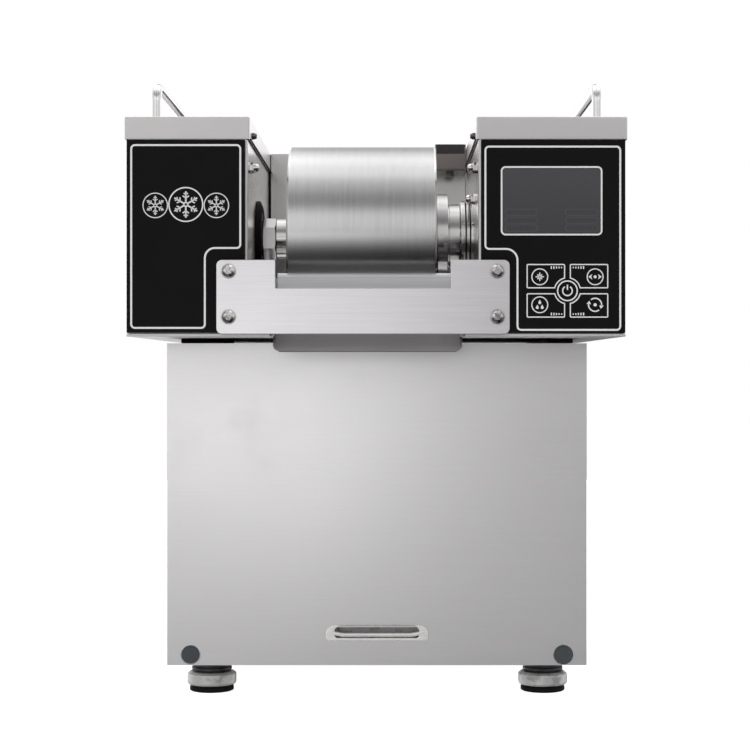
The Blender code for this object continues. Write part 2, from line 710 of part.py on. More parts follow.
def cabinet_shell():
    """The side walls and top, bent from one sheet, with the front panel's hinge lugs."""
    half, inner = HALF_CABINET, HALF_CABINET - SHEET
    outline = fillet(
        [
            (-half, CABINET_BOTTOM),
            (-inner, CABINET_BOTTOM),
            (-inner, CABINET_TOP - SHEET),
            (inner, CABINET_TOP - SHEET),
            (inner, CABINET_BOTTOM),
            (half, CABINET_BOTTOM),
            (half, CABINET_TOP),
            (-half, CABINET_TOP),
        ],
        [0, 0, 0, 0, 0, 0, BEND, BEND],
    )
    shell = section(
        "cabinet_shell", [outline], "Y", SHELL_FRONT_Y, REAR_PANEL_Y - GAP, BRUSHED
    )
    for side in (-1, 1):
        wall = side * (half - SHEET)
        lug_outer = wall - side * PANEL_FIT
        lug_inner = lug_outer - side * HINGE_LUG_WIDTH
        nose = fillet(
            [
                (HINGE_Y - HINGE_LUG_RADIUS, HINGE_Z - HINGE_LUG_RADIUS),
                (SHELL_FRONT_Y + HINGE_LUG_REACH / 2, HINGE_Z - HINGE_LUG_RADIUS),
                (SHELL_FRONT_Y + HINGE_LUG_REACH / 2, HINGE_Z + HINGE_INSET - SHEET - GAP),
                (HINGE_Y - HINGE_LUG_RADIUS, HINGE_Z + HINGE_INSET - SHEET - GAP),
            ],
            [HINGE_LUG_RADIUS * HINGE_NOSE[0], 0, 0, HINGE_LUG_RADIUS * HINGE_NOSE[1]],
        )
        ear = section(f"hinge_ear_{side}", [nose], "X", *sorted((lug_inner, lug_outer)), None)
        inside, outside = lug_inner - side * GAP, wall + side * SHEET / 2
        foot = box(
            f"hinge_foot_{side}",
            (min(inside, outside), SHELL_FRONT_Y + PANEL_FIT, HINGE_Z - HINGE_INSET),
            (max(inside, outside), SHELL_FRONT_Y + HINGE_LUG_REACH, CABINET_TOP - SHEET / 2),
        )
        pin_length = HINGE_LUG_WIDTH / 2 + PANEL_FIT + SHEET
        pin_middle = wall + side * SHEET - side * pin_length / 2
        pin = cylinder(
            f"hinge_stub_{side}",
            "X",
            (pin_middle, HINGE_Y, HINGE_Z),
            HINGE_PIN_RADIUS,
            pin_length,
            steps=16,
        )
        join(shell, foot, ear, pin)
        cut(shell, side_vents(f"vent_cutter_{side}", wall, -2 * SHEET, 2 * SHEET))
    cut(
        shell,
        cylinder(
            "pipe_hole_top",
            "Z",
            (PIPE_X, DRUM_Y, CABINET_TOP),
            PIPE_HOLE_RADIUS,
            6 * SHEET,
            steps=16,
        ),
    )
    return shell


def base_tray():
    """The cabinet's bottom: a tray with upturned lips and a collar round each foot's stem."""
    inner = HALF_CABINET - SHEET - GAP
    tray = open_box(
        "base_tray",
        (-inner, SHELL_FRONT_Y + PANEL_FIT, CABINET_BOTTOM),
        (inner, REAR_PANEL_Y - GAP, CABINET_BOTTOM + BASE_LIP),
        SHEET,
        BRUSHED,
        [(0, 0, 1)],
    )
    tray = as_mesh(tray, BRUSHED)
    for i, (x, y) in enumerate((x, y) for y in FOOT_YS for x in FOOT_XS):
        height = FOOT_COLLAR_HEIGHT + SHEET / 2
        collar = cylinder(
            f"foot_collar_{i}",
            "Z",
            (x, y, CABINET_BOTTOM + SHEET / 2 - height / 2),
            FOOT_COLLAR_RADIUS,
            height,
            steps=16,
        )
        hole = cylinder(
            f"foot_hole_{i}",
            "Z",
            (x, y, CABINET_BOTTOM),
            FOOT_STEM_RADIUS + FOOT_STEM_FIT,
            2 * FOOT_COLLAR_HEIGHT + 4 * OVERCUT,
            steps=12,
        )
        join(tray, collar)
        cut(tray, hole)
    return tray


def rear_panel():
    """The back sheet, with the condenser's slots and the power inlet's cut-out."""
    holes = []
    left = FAN_X - REAR_VENT_LENGTH / 2
    for k in range(REAR_VENT_COUNT):
        z = CABINET_BOTTOM + REAR_VENT_RISE + k * REAR_VENT_PITCH
        holes.append(rectangle(left, left + REAR_VENT_LENGTH, z, z + REAR_VENT_WIDTH))
    half_w = INLET_WIDTH / 2 - INLET_FLANGE + GAP
    half_h = INLET_HEIGHT / 2 - INLET_FLANGE / 2 + GAP
    holes.append(rectangle(INLET_X - half_w, INLET_X + half_w, INLET_Z - half_h, INLET_Z + half_h))
    edge = rectangle(-HALF_CABINET, HALF_CABINET, CABINET_BOTTOM, CABINET_TOP, BEND)
    return section("rear_panel", [edge, *holes], "Y", REAR_PANEL_Y, CABINET_REAR_Y, BRUSHED)


def power_inlet():
    """The mains socket in the back: a flange outside, and a body through the sheet."""
    flange = section(
        "power_inlet",
        [
            rectangle(
                INLET_X - INLET_WIDTH / 2,
                INLET_X + INLET_WIDTH / 2,
                INLET_Z - INLET_HEIGHT / 2,
                INLET_Z + INLET_HEIGHT / 2,
                INLET_CORNER,
            )
        ],
        "Y",
        CABINET_REAR_Y + GAP,
        CABINET_REAR_Y + INLET_PROUD,
        BLACK_PLASTIC,
    )
    half_w = INLET_WIDTH / 2 - INLET_FLANGE
    half_h = INLET_HEIGHT / 2 - INLET_FLANGE / 2
    body = box(
        "inlet_body",
        (INLET_X - half_w, CABINET_REAR_Y - INLET_DEPTH, INLET_Z - half_h),
        (INLET_X + half_w, CABINET_REAR_Y + INLET_PROUD / 2, INLET_Z + half_h),
    )
    mouth = box(
        "inlet_mouth",
        (
            INLET_X - INLET_MOUTH_WIDTH / 2,
            CABINET_REAR_Y - INLET_DEPTH + 2 * OVERCUT,
            INLET_Z - INLET_MOUTH_HEIGHT / 2,
        ),
        (
            INLET_X + INLET_MOUTH_WIDTH / 2,
            CABINET_REAR_Y + INLET_PROUD + OVERCUT,
            INLET_Z + INLET_MOUTH_HEIGHT / 2,
        ),
    )
    return cut(join(flange, body), mouth)


def front_panel(hinge):
    """The access panel, which swings out at the bottom, with its pull and corner caps."""
    panel = open_box(
        "front_panel",
        (-HALF_CABINET, CABINET_FRONT_Y, CABINET_BOTTOM),
        (HALF_CABINET, CABINET_FRONT_Y + PANEL_RETURN, CABINET_TOP),
        SHEET,
        BRUSHED,
        [(0, 1, 0), (0, 0, 1)],
    )
    panel = as_mesh(panel, BRUSHED)
    corner_relief = box(
        "return_relief",
        (-HALF_CABINET - OVERCUT, HINGE_Y + HINGE_INSET / 2, HINGE_Z + HINGE_INSET / 4),
        (HALF_CABINET + OVERCUT, CABINET_FRONT_Y + PANEL_RETURN + OVERCUT, CABINET_TOP + OVERCUT),
    )
    pin_holes = cylinder(
        "pin_holes",
        "X",
        (0, HINGE_Y, HINGE_Z),
        HINGE_PIN_RADIUS + GAP,
        CABINET_WIDTH + 2 * OVERCUT,
        steps=16,
    )
    slot = section(
        "pull_slot",
        [pull_outline(-PULL_RIM + GAP)],
        "Y",
        CABINET_FRONT_Y - OVERCUT,
        CABINET_FRONT_Y + SHEET + OVERCUT,
        None,
    )
    cut(panel, corner_relief, pin_holes, slot)
    pieces = [panel, pull_cup()]
    cap_z = CABINET_BOTTOM + CAP_RISE
    for side, label in ((-1, "left"), (1, "right")):
        x = side * (HALF_CABINET - CAP_INSET)
        hole = cylinder(
            f"cap_hole_{label}",
            "Y",
            (x, CABINET_FRONT_Y, cap_z),
            CAP_STEM_RADIUS + GAP,
            4 * SHEET,
            steps=16,
        )
        cut(panel, hole)
        pieces.append(corner_cap(f"corner_cap_{label}", x, cap_z))
    hang(hinge, *pieces)


def pull_outline(grow):
    """The finger pull's long round outline, made larger or smaller by grow."""
    z = CABINET_BOTTOM + PULL_RISE
    half_w, half_h = PULL_WIDTH / 2 + grow, PULL_HEIGHT / 2 + grow * PULL_FLARE
    return rectangle(-half_w, half_w, z - half_h, z + half_h, half_h * PULL_END_ROUNDING, steps=6)


def pull_cup():
    """The recessed finger pull: a rim on the panel and a cup through it."""
    rim = section(
        "pull_cup",
        [pull_outline(0)],
        "Y",
        CABINET_FRONT_Y - GAP - PULL_PROUD,
        CABINET_FRONT_Y - GAP,
        POLISHED,
    )
    body = section(
        "pull_body",
        [pull_outline(-PULL_RIM)],
        "Y",
        CABINET_FRONT_Y - GAP - PULL_PROUD / 2,
        CABINET_FRONT_Y + PULL_DEPTH,
        None,
    )
    hollow = section(
        "pull_hollow",
        [pull_outline(-PULL_RIM - PULL_WALL)],
        "Y",
        CABINET_FRONT_Y - PULL_PROUD - OVERCUT,
        CABINET_FRONT_Y + PULL_DEPTH - PULL_WALL,
        None,
    )
    return cut(join(rim, body), hollow)


def corner_cap(name, x, z):
    """A push-in cap: a low dome outside and a stem through the panel."""
    stem_end = -(SHEET + CAP_STEM_REACH)
    dome = CAP_RADIUS * 0.12
    profile = [
        (0, CAP_PROUD),
        (CAP_RADIUS * 0.6, CAP_PROUD - dome * 0.3),
        (CAP_RADIUS - dome, CAP_PROUD - dome),
        (CAP_RADIUS, CAP_PROUD - 2 * dome),
        (CAP_RADIUS, GAP),
        (CAP_STEM_RADIUS, GAP),
        (CAP_STEM_RADIUS, stem_end),
        (0, stem_end),
    ]
    cap = turned(name, profile, "Y", (x, CABINET_FRONT_Y, z), GREY_PLASTIC, steps=16)
    cap.rotation_euler = (math.pi / 2, 0, 0)
    return cap


def feet():
    """Four levelling feet, each a cup on a screwed stem over a rubber pad."""
    cup_profile = [
        (0, CABINET_BOTTOM + FOOT_STEM_LENGTH),
        (FOOT_STEM_RADIUS, CABINET_BOTTOM + FOOT_STEM_LENGTH),
        (FOOT_STEM_RADIUS, FOOT_CUP_TOP + GAP),
        (FOOT_COLLAR_RADIUS * 0.7, FOOT_CUP_TOP),
        (FOOT_RADIUS - FOOT_SHOULDER, FOOT_CUP_TOP - FOOT_EDGE / 2),
        (FOOT_RADIUS, FOOT_CUP_TOP - FOOT_EDGE / 2 - FOOT_SHOULDER),
        (FOOT_RADIUS, FOOT_PAD_HEIGHT + FOOT_SHOULDER),
        (FOOT_RADIUS - FOOT_EDGE, FOOT_PAD_HEIGHT + GAP),
        (0, FOOT_PAD_HEIGHT + GAP),
    ]
    pad_profile = [
        (0, FOOT_PAD_HEIGHT),
        (FOOT_PAD_RADIUS, FOOT_PAD_HEIGHT),
        (FOOT_PAD_RADIUS, FOOT_EDGE * 1.5),
        (FOOT_PAD_RADIUS - FOOT_EDGE, 0),
        (0, 0),
    ]
    places = [
        ("front_left", FOOT_XS[0], FOOT_YS[0]),
        ("front_right", FOOT_XS[1], FOOT_YS[0]),
        ("rear_left", FOOT_XS[0], FOOT_YS[1]),
        ("rear_right", FOOT_XS[1], FOOT_YS[1]),
    ]
    for label, x, y in places:
        screw = joint(f"foot_screw_{label}", (x, y, FOOT_CUP_TOP))
        cup = turned(f"foot_cup_{label}", cup_profile, "Z", (x, y, 0), POLISHED, steps=20)
        pad = turned(f"foot_pad_{label}", pad_profile, "Z", (x, y, 0), RUBBER, steps=20)
        hang(screw, cup, pad)


# ---------------------------------------------------------------- machinery in the cabinet
def compressor():
    """The hermetic compressor: a domed can on a mounting foot."""
    dome_rise = COMPRESSOR_RADIUS * 0.45
    straight_low = COMPRESSOR_FOOT_HEIGHT + dome_rise * 0.5
    straight_high = COMPRESSOR_HEIGHT - dome_rise
    profile = []
    for k in range(7):
        angle = math.pi / 2 * (1 - k / 6)
        profile.append(
            (COMPRESSOR_RADIUS * math.cos(angle), straight_high + dome_rise * math.sin(angle))
        )
    profile[0] = (0, COMPRESSOR_HEIGHT)
    profile.append((COMPRESSOR_RADIUS, straight_low))
    profile.append((COMPRESSOR_RADIUS * 0.9, COMPRESSOR_FOOT_HEIGHT))
    profile.append((COMPRESSOR_FOOT_RADIUS, COMPRESSOR_FOOT_HEIGHT))
    profile.append((COMPRESSOR_FOOT_RADIUS, 0))
    profile.append((0, 0))
    place = (COMPRESSOR_X, COMPRESSOR_Y, COMPRESSOR_BOTTOM)
    return turned("compressor", profile, "Z", place, BLACK_PAINT, steps=24)


def condenser():
    """The condenser as a comb of upright fins on a spine."""
    outline = [(CONDENSER_LEFT, CONDENSER_FRONT_Y), (CONDENSER_RIGHT, CONDENSER_FRONT_Y)]
    pitch = (CONDENSER_WIDTH - FIN_SHEET) / (CONDENSER_FINS - 1)
    spine_y = CONDENSER_FRONT_Y + SPINE_SHEET
    for k in range(CONDENSER_FINS):
        right = CONDENSER_RIGHT - k * pitch
        left = right - FIN_SHEET
        if k > 0:
            outline.append((right, spine_y))
        outline.append((right, CONDENSER_REAR_Y))
        outline.append((left, CONDENSER_REAR_Y))
        if k < CONDENSER_FINS - 1:
            outline.append((left, spine_y))
    outline = [Vector(point) for point in outline]
    top = CONDENSER_BOTTOM + CONDENSER_HEIGHT
    return section("condenser", [outline], "Z", CONDENSER_BOTTOM, top, ALUMINIUM)


def fan_window(quarter):
    """The outline of one window between the frame's four struts."""
    points = []
    for radius, flip in ((FAN_HUB_RADIUS, False), (FAN_RADIUS + FAN_TIP_GAP / 2, True)):
        start = math.asin(FAN_STRUT / 2 / radius)
        sweep = math.pi / 2 - 2 * start
        for k in range(9):
            share = (8 - k if flip else k) / 8
            angle = quarter * math.pi / 2 + start + sweep * share
            points.append((FAN_X + radius * math.cos(angle), FAN_Z + radius * math.sin(angle)))
    return points


def fan(spin):
    """The condenser fan: a square frame with its motor on four struts, and the rotor."""
    half = FAN_HALF_FRAME
    edge = rectangle(FAN_X - half, FAN_X + half, FAN_Z - half, FAN_Z + half, FAN_FRAME_CORNER)
    frame = section("fan_frame", [edge], "Y", FAN_FRONT_Y, FAN_REAR_Y, BLACK_PLASTIC)
    throat = cylinder(
        "fan_throat",
        "Y",
        (FAN_X, FAN_REAR_Y + OVERCUT - (FAN_FRAME_DEPTH - FAN_PLATE + OVERCUT) / 2, FAN_Z),
        FAN_RADIUS + FAN_TIP_GAP,
        FAN_FRAME_DEPTH - FAN_PLATE + OVERCUT,
        steps=40,
    )
    windows = section(
        "fan_windows",
        [fan_window(quarter) for quarter in range(4)],
        "Y",
        FAN_FRONT_Y - OVERCUT,
        FAN_FRONT_Y + FAN_PLATE + OVERCUT,
        None,
    )
    cut(frame, throat, windows)

    hub_front = FAN_FRONT_Y + FAN_PLATE + RUNNING_GAP
    rotor = cylinder(
        "fan_rotor",
        "Y",
        (FAN_X, hub_front + FAN_HUB_DEPTH / 2, FAN_Z),
        FAN_HUB_RADIUS,
        FAN_HUB_DEPTH,
        BLACK_PLASTIC,
        steps=24,
    )
    root = FAN_HUB_RADIUS * 0.8
    for k in range(FAN_BLADES):
        blade = box(
            f"fan_blade_{k}",
            (-FAN_BLADE_WIDTH / 2, -FAN_BLADE_THICKNESS / 2, root),
            (FAN_BLADE_WIDTH / 2, FAN_BLADE_THICKNESS / 2, FAN_RADIUS - FAN_TIP_TRIM),
        )
        blade.data.transform(Matrix.Translation(blade.location))
        blade.data.transform(Matrix.Rotation(FAN_BLADE_PITCH, 4, "Z"))
        blade.data.transform(Matrix.Rotation(2 * math.pi * k / FAN_BLADES, 4, "Y"))
        blade.location = (FAN_X, hub_front + FAN_HUB_DEPTH / 2, FAN_Z)
        join(rotor, blade)
    hang(spin, rotor)


def pipes():
    """The suction pipe down from the drum's rotary joint, and the pipe to the condenser."""
    joint_bottom = DRUM_Z - ROTARY_JOINT_RADIUS - GAP
    suction_y = COMPRESSOR_Y - COMPRESSOR_RADIUS * PIPE_SPREAD
    run_z = CABINET_TOP - PIPE_RUN_DROP
    stub_z = COMPRESSOR_BOTTOM + COMPRESSOR_HEIGHT - COMPRESSOR_RADIUS * PIPE_SEAT
    suction = fillet(
        [
            (PIPE_X, DRUM_Y, joint_bottom),
            (PIPE_X, DRUM_Y, run_z),
            (PIPE_X, suction_y, run_z),
            (COMPRESSOR_X, suction_y, run_z),
            (COMPRESSOR_X, suction_y, stub_z),
        ],
        [0, PIPE_BEND, PIPE_BEND, PIPE_BEND, 0],
        closed=False,
        steps=6,
    )
    tube("suction_pipe", suction, PIPE_RADIUS, COPPER, resolution=1)
    side_x = COMPRESSOR_X + COMPRESSOR_RADIUS * PIPE_SPREAD
    rise_z = COMPRESSOR_BOTTOM + COMPRESSOR_HEIGHT + PIPE_BEND * 1.5
    inlet_z = CONDENSER_BOTTOM + CONDENSER_HEIGHT - PIPE_INLET_DROP
    inlet_y = CONDENSER_FRONT_Y + SPINE_SHEET / 2
    discharge = fillet(
        [
            (side_x, COMPRESSOR_Y, stub_z),
            (side_x, COMPRESSOR_Y, rise_z),
            (side_x, inlet_y, rise_z),
            (side_x, inlet_y, inlet_z),
            (CONDENSER_LEFT - GAP, inlet_y, inlet_z),
        ],
        [0, PIPE_BEND, PIPE_BEND, PIPE_BEND * 0.8, 0],
        closed=False,
        steps=6,
    )
    tube("discharge_pipe", discharge, PIPE_RADIUS, COPPER, resolution=1)


# ---------------------------------------------------------------- deck and housings
def deck():
    """The plate that both housings stand on, open in front for the chute, on two cushions."""
    chute_rear = BLADE_EDGE_Y + CHUTE_RELIEF
    plate = fillet(
        [
            (-HALF_HEAD, HOUSING_FRONT_Y),
            (CHUTE_LEFT - CHUTE_RELIEF, HOUSING_FRONT_Y),
            (CHUTE_LEFT - CHUTE_RELIEF, chute_rear),
            (CHUTE_RIGHT + CHUTE_RELIEF, chute_rear),
            (CHUTE_RIGHT + CHUTE_RELIEF, HOUSING_FRONT_Y),
            (HALF_HEAD, HOUSING_FRONT_Y),
            (HALF_HEAD, HOUSING_REAR_Y),
            (-HALF_HEAD, HOUSING_REAR_Y),
        ],
        [0] * 8,
    )
    pipe_hole = circle(PIPE_X, DRUM_Y, PIPE_HOLE_RADIUS, 16)
    section("deck_plate", [plate, pipe_hole], "Z", DECK_BOTTOM, DECK_TOP, BRUSHED)
    for side, label in ((-1, "left"), (1, "right")):
        outer = side * (HALF_CABINET - CUSHION_INSET)
        inner = outer - side * CUSHION_WIDTH
        strip = rectangle(
            *sorted((outer, inner)),
            SHELL_FRONT_Y + PANEL_FIT,
            HOUSING_REAR_Y - CUSHION_WIDTH,
            CUSHION_CORNER,
        )
        cushion = section(
            f"deck_cushion_{label}", [strip], "Z", CABINET_TOP + GAP, DECK_BOTTOM - GAP, RUBBER
        )
        if side < 0:
            relief = cylinder(
                "cushion_pipe_relief",
                "Z",
                (PIPE_X, DRUM_Y, CABINET_TOP),
                PIPE_HOLE_RADIUS,
                4 * DECK_GAP,
                steps=16,
            )
            cut(cushion, relief)


def housing(label, left, right):
    """One housing: a square tube of sheet standing on the deck, with its holes."""
    outer = rectangle(left, right, HOUSING_FRONT_Y, HOUSING_REAR_Y, BEND, steps=3)
    inner = rectangle(
        left + SHEET,
        right - SHEET,
        HOUSING_FRONT_Y + SHEET,
        HOUSING_REAR_Y - SHEET,
        BEND / 3,
        steps=2,
    )
    wall = section(f"{label}_housing", [outer, inner], "Z", HOUSING_BOTTOM, HOUSING_TOP, BRUSHED)
    bay_wall = right if label == "left" else left
    shaft_hole = cylinder(
        f"shaft_hole_{label}",
        "X",
        (bay_wall, DRUM_Y, DRUM_Z),
        BEARING_SPIGOT_RADIUS + GAP,
        8 * SHEET,
    )
    cut(wall, shaft_hole)
    x = SCREW_XS[0] if label == "left" else SCREW_XS[1]
    for k, z in enumerate(SCREW_ZS):
        hole = cylinder(
            f"screw_hole_{label}_{k}",
            "Y",
            (x, HOUSING_FRONT_Y, z),
            SCREW_HOLE_RADIUS,
            8 * SHEET,
            steps=16,
        )
        cut(wall, hole)
    return wall


def lid(label, left, right):
    """A housing's lid: a shallow cap whose flanges hang outside the walls."""
    reach = LID_FIT + LID_SHEET
    return open_box(
        f"{label}_lid",
        (left - reach, HOUSING_FRONT_Y - reach, HEAD_TOP - LID_DEPTH),
        (right + reach, HOUSING_REAR_Y + reach, HEAD_TOP),
        LID_SHEET,
        BRUSHED,
        [(0, 0, -1)],
        corner=LID_BEND,
    )


def handle(label, x):
    """A round bar handle along a lid's outer side."""
    base, top = HEAD_TOP + GAP, HEAD_TOP + HANDLE_RISE - HANDLE_RADIUS
    front_y = FRONT_Y + HANDLE_SETBACK
    rear_y = front_y + HANDLE_LENGTH
    route = fillet(
        [(x, front_y, base), (x, front_y, top), (x, rear_y, top), (x, rear_y, base)],
        [0, HANDLE_BEND, HANDLE_BEND, 0],
        closed=False,
        steps=6,
    )
    return tube(f"{label}_handle", route, HANDLE_RADIUS, POLISHED)


def key_outline(side, level, grow):
    """One quarter key: a rectangle whose inner corner is bitten out round the power key."""
    inner_x, inner_z = KEY_INNER_X - grow, KEY_INNER_Z - grow
    outer_x, outer_z = KEY_HALF_WIDTH + grow, KEY_HALF_HEIGHT + grow
    bite = KEY_BITE - grow
    start = math.asin(inner_z / bite)
    end = math.acos(inner_x / bite)
    arc = [
        (bite * math.cos(a), bite * math.sin(a))
        for a in (end + (start - end) * k / 6 for k in range(7))
    ]
    corners = [(outer_x, inner_z), (outer_x, outer_z), (inner_x, outer_z), *arc]
    radii = [KEY_CORNER + grow] * 3 + [0] * len(arc)
    points = fillet(corners, radii, steps=2)
    return [Vector((KEYPAD_X + side * u, KEYPAD_Z + level * v)) for u, v in points]


KEYS = (("snow", -1, 1), ("speed", 1, 1), ("wash", -1, -1), ("mode", 1, -1))


def display_outline(grow):
    """The display window's outline."""
    return rectangle(
        DISPLAY_RIGHT - DISPLAY_WIDTH - grow,
        DISPLAY_RIGHT + grow,
        DISPLAY_TOP - DISPLAY_HEIGHT - grow,
        DISPLAY_TOP + grow,
        DISPLAY_CORNER + grow,
    )


def fascias():
    """The black front plates, with the display window and the five keys in the right one."""
    low, high = DECK_TOP + FASCIA_BOTTOM_RISE, HEAD_TOP - FASCIA_TOP_DROP
    front, back = FRONT_Y, FRONT_Y + FASCIA_THICKNESS
    screws = {
        side: [circle(SCREW_XS[side], z, SCREW_HOLE_RADIUS, 16) for z in SCREW_ZS]
        for side in (0, 1)
    }
    left_edge = rectangle(
        -HALF_HEAD + FASCIA_OUTER_INSET,
        BAY_LEFT - FASCIA_INNER_INSET,
        low,
        high,
        FASCIA_CORNER,
        steps=2,
    )
    section("left_fascia", [left_edge, *screws[0]], "Y", front, back, BLACK_GLOSS)
    right_edge = rectangle(
        BAY_RIGHT + FASCIA_INNER_INSET,
        HALF_HEAD - FASCIA_OUTER_INSET,
        low,
        high,
        FASCIA_CORNER,
        steps=2,
    )
    holes = [display_outline(KEY_FIT), circle(KEYPAD_X, KEYPAD_Z, POWER_KEY_RADIUS + KEY_FIT, 28)]
    holes += [key_outline(side, level, KEY_FIT) for _, side, level in KEYS]
    section("right_fascia", [right_edge, *screws[1], *holes], "Y", front, back, BLACK_GLOSS)
    section(
        "display_window",
        [display_outline(0)],
        "Y",
        front,
        front + DISPLAY_THICKNESS,
        SCREEN,
    )


def keys():
    """The five keys, each in its own hole in the right fascia."""
    front, back = FRONT_Y - KEY_PROUD, FRONT_Y - KEY_PROUD + KEY_BODY
    for name, side, level in KEYS:
        middle_x = KEYPAD_X + side * (KEY_HALF_WIDTH + KEY_INNER_X) / 2
        middle_z = KEYPAD_Z + level * (KEY_HALF_HEIGHT + KEY_INNER_Z) / 2
        press = joint(f"press_{name}", (middle_x, FRONT_Y, middle_z))
        key = section(f"key_{name}", [key_outline(side, level, 0)], "Y", front, back, BLACK_GLOSS)
        hang(press, key)
    press = joint("press_power", (KEYPAD_X, FRONT_Y, KEYPAD_Z))
    disc = circle(KEYPAD_X, KEYPAD_Z, POWER_KEY_RADIUS, 28)
    hang(press, section("key_power", [disc], "Y", front, back, BLACK_GLOSS))


def control_board():
    """The control board behind the right fascia, with its two largest components."""
    front = HOUSING_FRONT_Y + SHEET + BOARD_GAP
    low_x, low_z = KEYPAD_X - BOARD_WIDTH / 2, KEYPAD_Z - BOARD_HEIGHT / 2 + BOARD_RISE
    board = box(
        "control_board",
        (low_x, front, low_z),
        (low_x + BOARD_WIDTH, front + BOARD_SHEET, low_z + BOARD_HEIGHT),
        BOARD,
    )
    for k, share in enumerate((0.2, 0.6)):
        left = low_x + share * BOARD_WIDTH
        chip = box(
            f"board_chip_{k}",
            (left, front + BOARD_SHEET / 2, low_z + BOARD_HEIGHT * 0.55),
            (left + BOARD_CHIP, front + BOARD_SHEET + BOARD_CHIP, low_z + BOARD_HEIGHT * 0.8),
        )
        join(board, chip)
    return board


# ---------------------------------------------------------------- bracket, blade and chute
def front_bracket():
    """The screwed cross plate, cut down in the middle to let the flakes over it."""
    outline = fillet(
        [
            (BRACKET_LEFT, BRACKET_BOTTOM),
            (BRACKET_RIGHT, BRACKET_BOTTOM),
            (BRACKET_RIGHT, BRACKET_TOP),
            (CUT_RIGHT, BRACKET_TOP),
            (CUT_RIGHT, DECK_TOP + BRACKET_CUT_RISE),
            (CUT_LEFT, DECK_TOP + BRACKET_CUT_RISE),
            (CUT_LEFT, BRACKET_TOP),
            (BRACKET_LEFT, BRACKET_TOP),
        ],
        [
            BRACKET_CORNER,
            BRACKET_CORNER,
            BRACKET_CORNER,
            BRACKET_STEP_CORNER,
            0,
            0,
            BRACKET_STEP_CORNER,
            BRACKET_CORNER,
        ],
    )
    holes = [circle(x, z, SCREW_HOLE_RADIUS, 16) for x in SCREW_XS for z in SCREW_ZS]
    return section(
        "front_bracket", [outline, *holes], "Y", BRACKET_FRONT_Y, BRACKET_BACK_Y, BRUSHED
    )


def bracket_screws():
    """Four pan-head cross-recess screws through the bracket, one mesh for all."""
    seat = GAP
    head = seat + SCREW_WASHER_HEIGHT
    top = head + SCREW_HEAD_HEIGHT
    profile = [
        (0, top),
        (SCREW_HEAD_RADIUS * 0.55, top - SCREW_HEAD_HEIGHT * 0.08),
        (SCREW_HEAD_RADIUS * 0.85, top - SCREW_HEAD_HEIGHT * 0.32),
        (SCREW_HEAD_RADIUS, top - SCREW_HEAD_HEIGHT * 0.7),
        (SCREW_HEAD_RADIUS, head),
        (SCREW_WASHER_RADIUS, head),
        (SCREW_WASHER_RADIUS, seat),
        (SCREW_RADIUS, seat),
        (SCREW_RADIUS, -SCREW_LENGTH),
        (0, -SCREW_LENGTH),
    ]
    master = turned("screw_master", profile, "Z", (0, 0, 0), POLISHED, steps=14)
    for k in range(2):
        reach = SCREW_RECESS_LENGTH / 2
        half = SCREW_RECESS_WIDTH / 2
        low = (-reach, -half, top - SCREW_RECESS_DEPTH)
        high = (reach, half, top + OVERCUT)
        bar = box(f"recess_{k}", low, high)
        bar.rotation_euler = (0, 0, k * math.pi / 2)
        cut(master, bar)
    mesh = evaluated_mesh(master)
    bpy.data.objects.remove(master)
    labels = ("left_lower", "left_upper", "right_lower", "right_upper")
    places = [(x, z) for x in SCREW_XS for z in SCREW_ZS]
    for label, (x, z) in zip(labels, places):
        screw = bpy.data.objects.new(f"bracket_screw_{label}", mesh)
        screw.rotation_euler = (math.pi / 2, 0, 0)
        screw.location = (x, BRACKET_FRONT_Y, z)
        put(screw, POLISHED)


def along_chute(distance, rise):
    """A point in the YZ plane, down the chute from the blade's edge and out from its face."""
    cos, sin = math.cos(CHUTE_SLOPE), math.sin(CHUTE_SLOPE)
    y = BLADE_EDGE_Y - distance * cos - rise * sin
    z = BLADE_EDGE_Z - distance * sin + rise * cos
    return (y, z)


def scraper_blade():
    """The scraper blade, whose ground edge stands just off the drum."""
    outline = [
        along_chute(0, 0),
        along_chute(BLADE_HEIGHT, 0),
        along_chute(BLADE_HEIGHT, BLADE_THICKNESS),
        along_chute(BLADE_BEVEL, BLADE_THICKNESS),
        along_chute(0, BLADE_THICKNESS * 0.15),
    ]
    outline = [Vector(point) for point in outline]
    left, right = CUT_LEFT - CHUTE_LEFT_OVERLAP, CUT_RIGHT + CHUTE_LEFT_OVERLAP
    return section(
        "scraper_blade", [outline], "X", left + CHUTE_SHEET + GAP, right - GAP, POLISHED
    )


